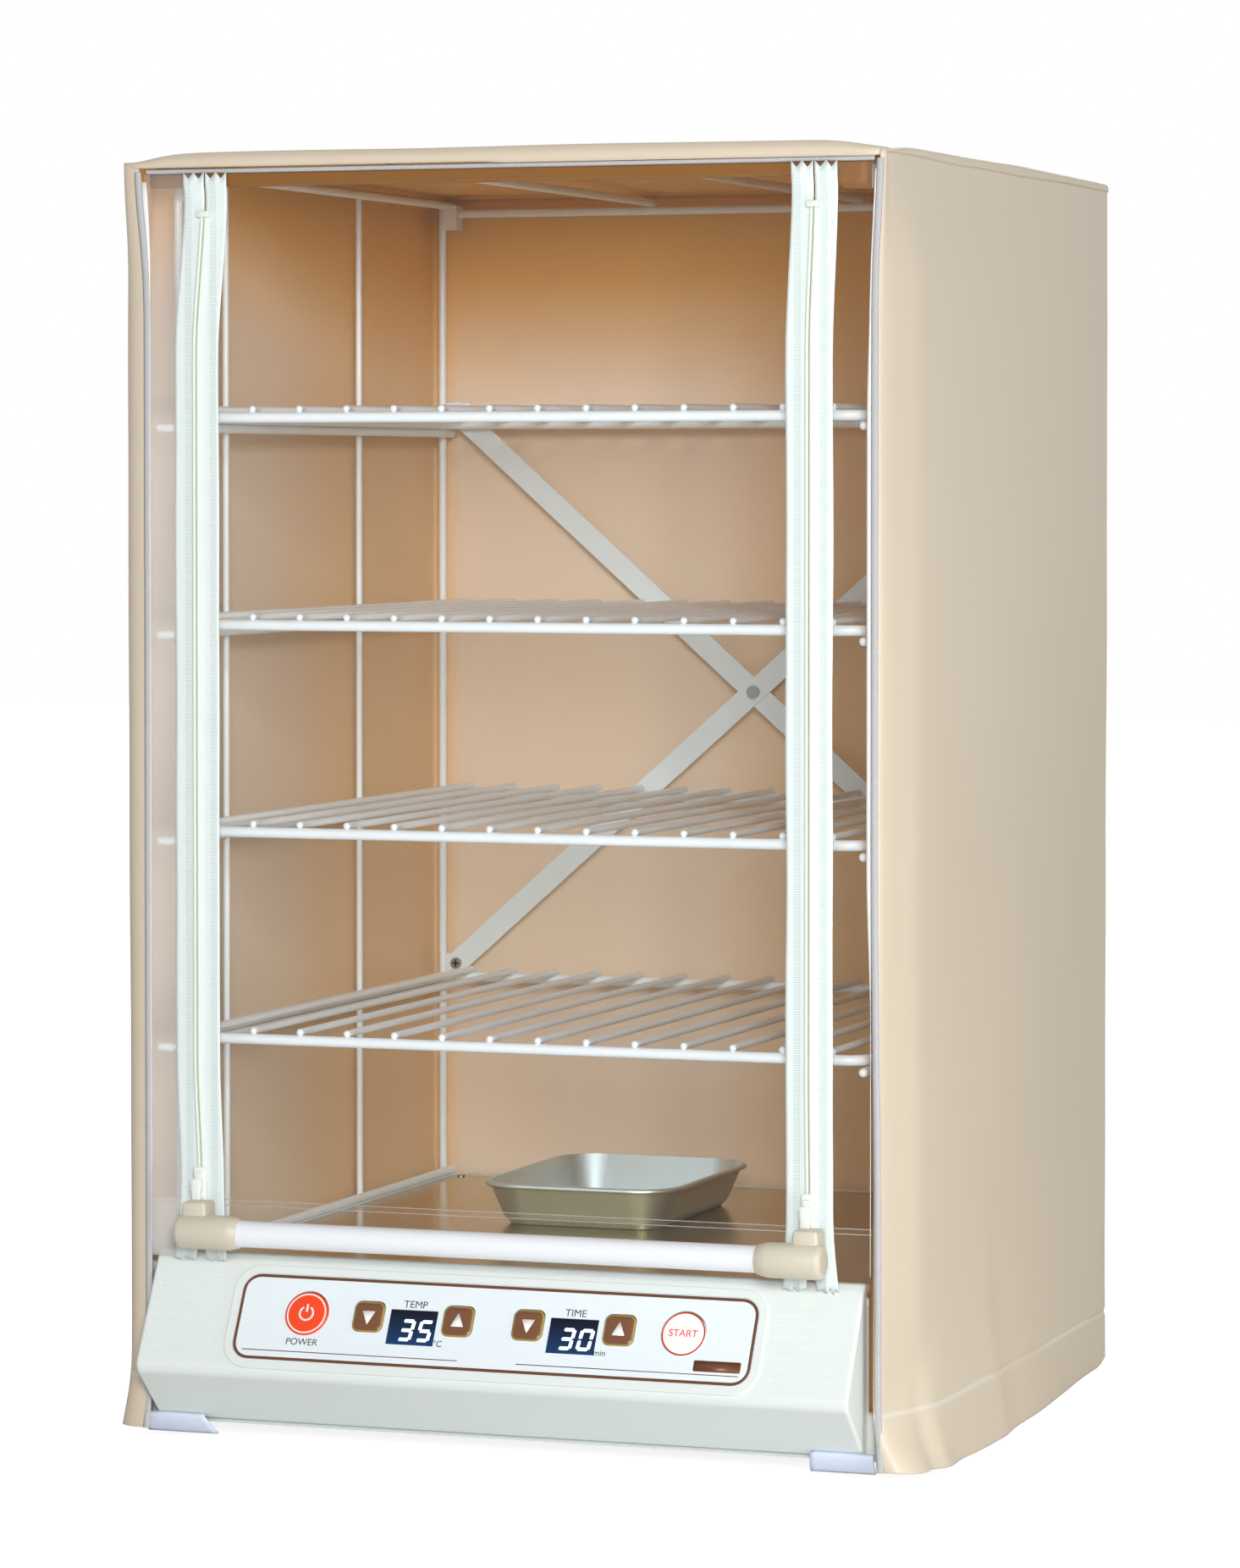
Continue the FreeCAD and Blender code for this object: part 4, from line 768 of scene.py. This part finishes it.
def filmSheet(name, low, high, columns, rows, sag, body, finishName, replaced):
    bm = bmesh.new()
    for vert, u, t in strip(bm, columns, rows):
        x = low.x + (high.x - low.x) * u
        z = low.z + (high.z - low.z) * t
        inner = ease(min(u, 1 - u, t, 1 - t) / 0.12)
        y = low.y + sag * inner * (ripple(x * 5.0, z * 3.2, 1.7) + 0.35)
        vert.co = (x, y, z)
    piece = pieceFrom(bm, name, body, [finishName], replaced)
    return thickened(piece, film["sheet"])


windowLow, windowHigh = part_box("window_film")
windowFilm = filmSheet("windowFilm", windowLow, windowHigh, 40, 64, film["sag"], None, "film",
                       ["window_film"])
hingeZ - film["bendZ"]
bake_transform(windowFilm)
borderLow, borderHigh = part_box("border_films")
borderWide = borderHigh.x - zipX - film["borderGap"]
for sideName, side in (("Left", -1), ("Right", 1)):
    ends = sorted((side * (borderHigh.x - borderWide), side * borderHigh.x))
    low = Vector((ends[0], borderLow.y, borderLow.z))
    high = Vector((ends[1], borderHigh.y, borderHigh.z))
    border = filmSheet("borderFilm" + sideName, low, high, 8, 60, film["borderSag"], cabinet, "film",
                       ["border_films"] if side > 0 else [])
sillLow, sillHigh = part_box("sill_film")
sillHigh.z += film["sillRise"]
sillFilm = filmSheet("sillFilm", sillLow, sillHigh, 36, 6, film["sillSag"], cabinet, "film", ["sill_film"])
bm = bmesh.new()
for lineZ in (sillHigh.z - film["hemLine"], sillHigh.z - film["hem"]):
    softBlock(bm, (sillLow.x, sillLow.y - 0.25 * mm, lineZ),
              (sillHigh.x, sillHigh.y, lineZ + film["hemLine"]), 0.2 * mm, 1)
pieceFrom(bm, "sillHem", cabinet, ["filmEdge"])
print("film hung")

# zips: woven tapes with pinked ends, and a ribbed coil along each inner edge
zips = lengths({"sheet": 0.6, "pink": 1.9, "topRise": 5.0, "lowRise": 4.0, "coil": 1.3, "pitch": 1.5,
                "wander": 0.7, "flare": 4.0, "ragged": 3.0, "bendZ": 12})
sliderMidZ = (sliderLow.z + sliderHigh.z) / 2


def zipLean(side, z):
    # each zip bows to the left between its slider and its top end
    high = ramp(z, 600, 95)
    bow, top = (-2.4 * mm, 3.0 * mm) if side < 0 else (-0.6 * mm, 2.2 * mm)
    return (bow * (1 - high) + top * high) * ease((z - sliderMidZ) / (70 * mm))


def zipTape(name, side, way, body):
    # way is 1 for the half sewn to the border film and -1 for the half on the window
    bm = bmesh.new()
    columns = 8
    rows = 110
    topRow = filmTopZ + zips["topRise"]
    lowRow = tapeLowZ + zips["lowRise"]
    for vert, u, t in strip(bm, columns, rows):
        column = round(u * columns)
        if side * way < 0:
            u = 1 - u
        z = lowRow + (topRow - lowRow) * t
        apart = unit((sliderMidZ - z) / (sliderMidZ - tapeLowZ))
        x = tapeGap * way + way * tapeReach * u
        x += way * u ** 2 * zips["wander"] * ripple(z * 11.0, way * 3.0, side)
        x += way * zips["flare"] * apart ** 1.6 * (0.5 if way < 0 else 1.0)
        if t > 1 - 0.5 / rows:
            z += zips["pink"] * (1, 0, -1, 0)[column % 4]
        if t < 0.5 / rows:
            z += zips["ragged"] * ripple(column * 0.9, side * 5.0, way)
        y = frontY - 0.05 * mm - 0.9 * mm * apart * u - 1.6 * mm * ease((z - topRow + 14 * mm) / (10 * mm))
        vert.co = (side * zipX + side * x + zipLean(side, z), y, z)
    piece = thickened(pieceFrom(bm, name, body, ["tape"]), zips["sheet"], 1.0)
    return piece


def zipCoil(name, way, body):
    bm = bmesh.new()
    around = 8
    low = sliderMidZ
    high = stopLow.z + 1.0 * mm
    rows = 2 * round((high - low) / zips["pitch"])
    for side in (-1, 1):
        made = strip(bm, around, rows)
        for vert, u, t in made:
            turn = 2 * math.pi * (u - 0.5)
            tooth = (round(t * rows) + (way > 0)) % 2
            radius = zips["coil"] * (1.0 if tooth else 0.72)
            x = side * (zipX + way * zips["coil"] * 0.94)
            y = frontY - 1.5 * mm
            z = low + (high - low) * t
            vert.co = (x + zipLean(side, z) - radius * math.sin(turn), y + radius * math.cos(turn), z)
        bmesh.ops.remove_doubles(bm, verts=[vert for vert, u, t in made], dist=0.01 * mm)
    rims = [edge for edge in bm.edges if edge.is_boundary]
    bmesh.ops.holes_fill(bm, edges=rims, sides=around)
    facedOut(bm)
    pieceFrom(bm, name, body, ["coil"])


for side, sideName in ((-1, "Left"), (1, "Right")):
    outerTape = zipTape("outerTape" + sideName, side, 1, cabinet)
    innerTape = zipTape("innerTape" + sideName, side, -1, None)
    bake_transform(innerTape)
    if side > 0:
        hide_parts("outer_zip_tapes")
        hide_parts("inner_zip_tapes")
zipCoil("outerCoils", 1, cabinet)
zipCoil("innerCoils", -1, windowFlap)

# zip stops, sliders and pulls
pullLow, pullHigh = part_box("zip_pulls")
plateFront = pullHigh.y + 4 * mm - 0.1 * mm


def aboutZip(bm, x, half, front, back, low, high, radius):
    softBlock(bm, (x - half, front, low), (x + half, back, high), radius)


bm = bmesh.new()
for side in (-1, 1):
    x = side * zipX + zipLean(side, stopLow.z)
    aboutZip(bm, x, 3.6 * mm, stopLow.y, stopHigh.y - 0.4 * mm, stopLow.z, stopHigh.z + 0.6 * mm, 0.7 * mm)
pieceFrom(bm, "zipStops", windowFlap, ["coil"], ["zip_top_stops"])

sliderBlocks = [  # half width, front, back, low, high, radius: the plate, its raised middle and the loop
    (3.8 * mm, -0.2 * mm, 1.7 * mm, sliderLow.z, sliderHigh.z - 2 * mm, 1.1 * mm),
    (2.8 * mm, -1.4 * mm, 0.6 * mm, sliderLow.z + 3 * mm, sliderHigh.z - 5 * mm, 0.9 * mm),
    (1.5 * mm, -4.0 * mm, 0.2 * mm, sliderMidZ - 3.4 * mm, sliderMidZ + 2.2 * mm, 1.1 * mm)]
bm = bmesh.new()
for side in (-1, 1):
    x = side * zipX
    for half, front, back, low, high, radius in sliderBlocks:
        aboutZip(bm, x, half, plateFront + front, plateFront + back, low, high, radius)
    rear = sorted((x - side * 4.0 * mm, x + side * 0.25 * mm))
    softBlock(bm, (rear[0], sliderHigh.y - 1.4 * mm, sliderLow.z), (rear[1], sliderHigh.y, sliderHigh.z),
              0.4 * mm, 2)
pieceFrom(bm, "zipSliders", liftBar, ["slider"], ["zip_sliders"])

bm = bmesh.new()
for side in (-1, 1):
    x = side * zipX
    aboutZip(bm, x, 2.6 * mm, pullLow.y, pullHigh.y + 0.05 * mm, pullLow.z, pullHigh.z + 0.8 * mm, 0.7 * mm)
    for arm in (-1, 1):  # the loop that holds the pull on the slider
        aboutZip(bm, x + arm * 2.3 * mm, 0.7 * mm, pullLow.y + 0.1 * mm, plateFront - 1.6 * mm,
                 pullHigh.z - 6 * mm, pullHigh.z + 0.5 * mm, 0.5 * mm)
pieceFrom(bm, "zipPulls", liftBar, ["slider"], ["zip_pulls"])

# lift bar's end caps
barLow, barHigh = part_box("handle_bar")
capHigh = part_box("handle_end_caps")[1]
barMid = (barLow + barHigh) / 2
caps = lengths({"radius": 9.5, "length": 37, "collar": 6, "mouth": 8.1, "tab": 7.5, "shift": 3.5,
                "tabDrop": 2.5})
bm = bmesh.new()
for side in (-1, 1):
    outer = capHigh.x + side * caps["shift"]
    inner = outer - caps["length"]
    tabX = zipX + side * caps["shift"]
    tabZ = capHigh.z - caps["tabDrop"]
    radius = caps["radius"]
    mouth = caps["mouth"]
    collar = inner + caps["collar"]
    profile = [(inner, 7.3 * mm), (inner, mouth - 0.4 * mm), (inner + 0.4 * mm, mouth),
               (collar - 0.5 * mm, radius - 0.15 * mm), (collar + 0.6 * mm, radius),
               (outer - 3.0 * mm, radius), (outer - 1.4 * mm, radius - 0.45 * mm),
               (outer - 0.4 * mm, radius - 1.5 * mm), (outer, radius - 3.2 * mm), (outer, 0.0)]
    cap = bmesh.new()
    lathe(cap, profile, (0, barMid.y, barMid.z), (1, 0, 0))
    softBlock(cap, (tabX - caps["tab"], barMid.y - 3 * mm, barMid.z),
              (tabX + caps["tab"], barMid.y + 12 * mm, tabZ), 1.7 * mm)
    for vert in cap.verts:
        rise = unit((vert.co.z - barMid.z - radius) / (tabZ - barMid.z - radius))
        vert.co.x += (tabX - vert.co.x) * 0.10 * rise
    if side < 0:
        bmesh.ops.scale(cap, vec=(-1, 1, 1), verts=cap.verts[:])
        bmesh.ops.reverse_faces(cap, faces=cap.faces[:])
    half = bpy.data.meshes.new("capHalf")
    cap.to_mesh(half)
    cap.free()
    bm.from_mesh(half)
    bpy.data.meshes.remove(half)
pieceFrom(bm, "endCaps", liftBar, ["cap"], ["handle_end_caps"])
print("zips and lift bar made")

# the front ends of the left shelf rails turn out towards the cover and end in a ball
tipProfile = [(along * mm, radius * mm) for along, radius in (
    (0, 0), (0, 2.3), (5.6, 2.3), (6.6, 2.9), (7.8, 2.7), (8.6, 1.6), (8.9, 0))]
tips = lengths({"x": -200.8, "y": -198.2, "under": 2.6})
bm = bmesh.new()
for shelf in ("shelf_1", "shelf_2", "shelf_3", "shelf_4"):
    lathe(bm, tipProfile, (tips["x"], tips["y"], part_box(shelf)[0].z - tips["under"]), (-1, 0, 0))
pieceFrom(bm, "railTips", cabinet, ["wire"])

# painted shade: black crosses, standing a little proud, stand in for the shaded cross recesses in the heads
# of the brace screws
recess = lengths({"long": 4.4, "wide": 1.1, "proud": 0.15, "sink": 0.6, "middleZ": 403})
heads = {}
for vert in frame["nodes"]["brace_screws"].data.vertices:
    heads.setdefault((vert.co.x > 0, vert.co.z > recess["middleZ"]), []).append(vert.co.copy())
bm = bmesh.new()
for points in heads.values():
    front = min(point.y for point in points)
    middle = sum(points, Vector()) / len(points)
    for long, wide in ((recess["long"], recess["wide"]), (recess["wide"], recess["long"])):
        block(bm, (middle.x - long / 2, front - recess["proud"], middle.z - wide / 2),
              (middle.x + long / 2, front + recess["sink"], middle.z + wide / 2))
pieceFrom(bm, "screwRecessShade", cabinet, ["black"])

# white straps that hold the cover down under the base
tabLow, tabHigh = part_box("hold_down_tabs")
tabs = lengths({"length": 35, "width": 15, "lift": 1.0, "sheet": 1.1, "curl": 5, "slant": 7, "front": 1.0,
                "topCurl": 2.0, "wave": 0.4})
for side, sideName in ((-1, "Left"), (1, "Right")):
    bm = bmesh.new()
    for vert, u, t in strip(bm, 14, 8):
        away = u if side < 0 else 1 - u  # 0 at the cover's edge, 1 at the free end
        z = tabLow.z + tabs["lift"] + (tabHigh.z - tabLow.z - tabs["lift"]) * t
        x = side * (tabHigh.x - tabs["length"] * away)
        x -= side * tabs["slant"] * away ** 3 * (1 - t) * (1 if side < 0 else 0.2)
        curl = tabs["curl"] * (1 - t) ** 2.2 + tabs["topCurl"] * ease((t - 0.85) / 0.15)
        y = tabLow.y - tabs["front"] + curl + tabs["wave"] * ripple(x * 60.0, z * 60.0, 3.0)
        vert.co = (x, y, z)
    holdTab = pieceFrom(bm, "holdTab" + sideName, cabinet, ["tab"],
                        ["hold_down_tabs"] if side > 0 else [])
    thickened(holdTab, tabs["sheet"])

# control panel: printed border, lines and words on the overlay
joints = {joint["name"]: joint for joint in frame["record"]["behaviour"]["joints"]}
panelOut = -Vector(joints["power_press"]["axis"]).normalized()
panelAcross = Vector((1, 0, 0))
panelUp = panelOut.cross(panelAcross)
overlayLow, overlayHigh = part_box("panel_overlay")
overlayMid = (overlayLow + overlayHigh) / 2 + panelOut * 0.3 * mm
panelTurn = Matrix((panelAcross, panelUp, panelOut)).transposed().to_4x4()
panelMatrix = Matrix.Translation(overlayMid) @ panelTurn
panel = lengths({"height": 49.5, "corner": 10, "edge": 0.25, "line": 1.7, "print": 0.06, "sink": 0.1})
panel["width"] = overlayHigh.x - overlayLow.x


def onPanel(bm, x, up, lift=0.0):
    bmesh.ops.transform(bm, matrix=panelMatrix @ Matrix.Translation((x, up, lift)), verts=bm.verts[:])


def spotOf(node):
    low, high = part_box(node)
    away = (low + high) / 2 - overlayMid
    return away.dot(panelAcross), away.dot(panelUp)


def flatFace(bm, width, height, x=0.0, up=0.0):
    made = bmesh.ops.create_grid(bm, x_segments=1, y_segments=1, size=0.5)["verts"]
    bmesh.ops.scale(bm, vec=(width, height, 1), verts=made)
    bmesh.ops.translate(bm, vec=(x, up, 0), verts=made)
    return made


def roundedFace(bm, width, height, radius, segments=6):
    rounded(bm, flatFace(bm, width, height), radius, segments, "VERTICES")
    bm.faces.ensure_lookup_table()
    return bm.faces[-1]


def inset(bm, face, thickness, depth=0.0):
    bmesh.ops.inset_region(bm, faces=[face], thickness=thickness, depth=depth, use_even_offset=True,
                           use_boundary=True)


def raised(bm, depth):
    # gives flat faces a body that goes down by depth
    made = bmesh.ops.extrude_face_region(bm, geom=bm.faces[:])["geom"]
    bmesh.ops.translate(bm, vec=(0, 0, -depth), verts=vertsOf(made))
    facedOut(bm)


bm = bmesh.new()
edge = panel["edge"]
outline = roundedFace(bm, panel["width"] - 2 * edge, panel["height"] - 2 * edge,
                      panel["corner"] - edge)
inset(bm, outline, panel["line"])
bmesh.ops.delete(bm, geom=[outline], context="FACES_ONLY")
raised(bm, panel["print"] + panel["sink"])
onPanel(bm, 0, 0, panel["print"])
pieceFrom(bm, "panelBorder", cabinet, ["brown"])

# thin rules along the foot of the panel, and a small bare plate at its right end
rules = lengths({"up": -19.2, "thick": 0.5, "near": 17, "far": 143})
plate = lengths({"width": 26.5, "height": 6.2, "corner": 0.9, "x": 130.4, "up": -14.4})
bm = bmesh.new()
for x0, x1 in ((-rules["far"], -rules["near"]), (rules["near"], rules["far"])):
    block(bm, (x0, rules["up"] - rules["thick"] / 2, -panel["sink"]),
          (x1, rules["up"] + rules["thick"] / 2, panel["print"]))
onPanel(bm, 0, 0)
pieceFrom(bm, "panelRules", cabinet, ["brown"])
bm = bmesh.new()
roundedFace(bm, plate["width"], plate["height"], plate["corner"], 3)
raised(bm, panel["print"] + panel["sink"])
onPanel(bm, plate["x"], plate["up"], panel["print"])
pieceFrom(bm, "panelPlate", cabinet, ["brown"])


inkDepth = 0.04 * mm


def printed(name, words, height, x, up, finishName, body, lift=0.0):
    curve = bpy.data.curves.new(name, "FONT")
    curve.body = words
    curve.size = height
    curve.align_x = "CENTER"
    curve.align_y = "CENTER"
    curve.extrude = inkDepth
    holder = placed(name + "Text", curve)
    bpy.context.view_layer.update()
    mesh = bpy.data.meshes.new_from_object(holder.evaluated_get(bpy.context.evaluated_depsgraph_get()))
    bpy.data.objects.remove(holder)
    bm = bmesh.new()
    bm.from_mesh(mesh)
    bpy.data.meshes.remove(mesh)
    bmesh.ops.remove_doubles(bm, verts=bm.verts[:], dist=1e-6)
    onPanel(bm, x, up, lift + inkDepth)
    pieceFrom(bm, name, body, [finishName])


powerX, keyUp = spotOf("power_button")
tempX = spotOf("temp_display")[0]
timeX, displayUp = spotOf("time_display")
for name, words, height, x, up in (
        ("labelTemp", "TEMP", 5.8 * mm, tempX, displayUp + 13.0 * mm),
        ("labelTime", "TIME", 5.8 * mm, timeX, displayUp + 13.0 * mm),
        ("labelPower", "POWER", 5.4 * mm, powerX, keyUp - 16.4 * mm),
        ("labelDegrees", "°C", 5.0 * mm, tempX + 16.4 * mm, displayUp - 8.6 * mm),
        ("labelMinutes", "min", 4.8 * mm, timeX + 17.0 * mm, displayUp - 8.6 * mm)):
    printed(name, words, height, x, up, "ink", cabinet)

# seven-segment digits behind the display panes
lit = lengths({"wide": 8.2, "high": 12.6, "bar": 2.0, "gap": 0.25, "step": 10.6, "x": 2.4, "up": -1.6,
               "corner": 0.55, "depth": 0.12})
lit["slant"] = 0.14
segments = {"0": "abcdef", "3": "abgcd", "5": "afgcd"}


def litDigit(bm, digit, x, up):
    wide, high, bar = lit["wide"], lit["high"], lit["bar"]
    long = wide - bar - 2 * lit["gap"]
    tall = high / 2 - bar / 2 - 2 * lit["gap"]
    sideX = wide / 2 - bar / 2
    sideUp = high / 4 - bar / 8
    endUp = high / 2 - bar / 2
    places = {"a": (0, endUp, 0), "g": (0, 0, 0), "d": (0, -endUp, 0), "b": (sideX, sideUp, 1),
              "c": (sideX, -sideUp, 1), "f": (-sideX, sideUp, 1), "e": (-sideX, -sideUp, 1)}
    for name in segments[digit]:
        barX, barUp, upright = places[name]
        for vert in flatFace(bm, bar if upright else long, tall if upright else bar, barX, barUp):
            vert.co.x += vert.co.y * lit["slant"] + x
            vert.co.y += up


for name, centre, digits in (("tempDigits", tempX, "35"), ("timeDigits", timeX, "30")):
    bm = bmesh.new()
    for index, digit in enumerate(digits):
        litDigit(bm, digit, (index - 0.5) * lit["step"] + lit["x"], lit["up"])
    rounded(bm, bm.verts[:], lit["corner"], 2, "VERTICES")
    raised(bm, lit["depth"])
    onPanel(bm, centre, displayUp, -inkDepth)
    pieceFrom(bm, name, cabinet, ["digit"])
print("panel printed")

# keys: a round power key, a round start key and four square arrow keys
keys = lengths({"proud": 0.5, "dome": 0.5, "round": 12.5, "side": 17.4, "corner": 4, "stem": 3.2,
                "markDepth": 0.2})
keyTop = keys["proud"] + keys["dome"]


def roundKey(name, node, rings, finishNames):
    # rings are (radius, finish) pairs from the middle out
    bm = bmesh.new()
    top = keys["proud"]
    radius = keys["round"]
    wall = radius - 0.05 * mm
    profile = [(-keys["stem"], wall), (top - 0.45 * mm, wall), (top - 0.1 * mm, radius - 0.3 * mm)]
    domed = [radius - 0.75 * mm] + [limit for limit, index in reversed(rings[:-1])]
    domed += [r for r in (7.0 * mm, 4.0 * mm, 0.0) if r < domed[-1]]
    profile += [(top + keys["dome"] * (1 - (r / radius) ** 2), r) for r in domed]
    lathe(bm, profile, (0, 0, 0), (0, 0, 1), 64)
    for face in bm.faces:
        middle = face.calc_center_median()
        away = math.hypot(middle.x, middle.y)
        face.material_index = next((index for limit, index in rings if away <= limit), 0)
    x, up = spotOf(node)
    onPanel(bm, x, up)
    pieceFrom(bm, name, node, finishNames, [node])
    return x, up


x, up = roundKey("powerKey", "power_button", [(10.6 * mm, 0), (11.4 * mm, 1), (13 * mm, 0)],
                 ["orange", "white"])
mark = lengths({"radius": 3.9, "half": 0.55, "barWide": 1.3, "barLong": 4.6, "barUp": 3.0, "proud": 0.02})
mark["gap"] = math.radians(62)
bm = bmesh.new()
arc = [bm.verts.new((r * math.sin(mark["gap"] / 2), r * math.cos(mark["gap"] / 2), 0))
       for r in (mark["radius"] - mark["half"], mark["radius"] + mark["half"])]
bmesh.ops.spin(bm, geom=arc + [bm.edges.new(arc)], cent=(0, 0, 0), axis=(0, 0, -1),
               angle=2 * math.pi - mark["gap"], steps=40, use_duplicate=False)
flatFace(bm, mark["barWide"], mark["barLong"], 0.0, mark["barUp"])
facedOut(bm)
raised(bm, keys["markDepth"])
onPanel(bm, x, up, keyTop + mark["proud"])
pieceFrom(bm, "powerMark", "power_button", ["white"])

x, up = roundKey("startKey", "start_button", [(11.4 * mm, 0), (12.3 * mm, 1), (13 * mm, 0)],
                 ["white", "orange"])
printed("startMark", "START", 5.6 * mm, x, up, "orange", "start_button", keyTop)

arrow = lengths({"radius": 4.7, "corner": 0.5, "shift": 0.5, "lift": 0.68, "sink": 0.2})
arrow["stretch"] = (0.92, 1.12, 1)
for node, points in (("temp_down_button", -1), ("temp_up_button", 1), ("time_down_button", -1),
                     ("time_up_button", 1)):
    x, up = spotOf(node)
    bm = bmesh.new()
    face = roundedFace(bm, keys["side"], keys["side"], keys["corner"])
    # the sloped rim and the sides take a lighter colour: painted highlight on the key's edges
    inset(bm, face, 0.9 * mm, 0.25 * mm)
    for other in bm.faces:
        other.material_index = 0 if other is face else 1
    inset(bm, face, 0.8 * mm, 0.45 * mm)
    inset(bm, face, 0.6 * mm, 0.08 * mm)
    rims = [edge for edge in bm.edges if edge.is_boundary]
    made = bmesh.ops.extrude_edge_only(bm, edges=rims)["geom"]
    bmesh.ops.translate(bm, vec=(0, 0, -keys["stem"]), verts=vertsOf(made))
    facedOut(bm)
    for other in bm.faces:
        if abs(other.normal.z) < 0.1:
            other.material_index = 1
    onPanel(bm, x, up, keys["proud"] - arrow["sink"])
    name = node.replace("_button", "").title().replace("_", "")
    pieceFrom(bm, "key" + name, node, ["keyBrown", "keyEdge"], [node])
    bm = bmesh.new()
    made = bmesh.ops.create_circle(bm, cap_ends=True, segments=3, radius=arrow["radius"])["verts"]
    if points < 0:
        bmesh.ops.rotate(bm, cent=(0, 0, 0), matrix=Matrix.Rotation(math.pi, 3, "Z"), verts=made)
    bmesh.ops.scale(bm, vec=arrow["stretch"], verts=made)
    rounded(bm, made, arrow["corner"], 3, "VERTICES")
    raised(bm, keys["markDepth"])
    onPanel(bm, x, up - points * arrow["shift"], keys["proud"] + arrow["lift"])
    pieceFrom(bm, "mark" + name, node, ["white"])
print("keys made")
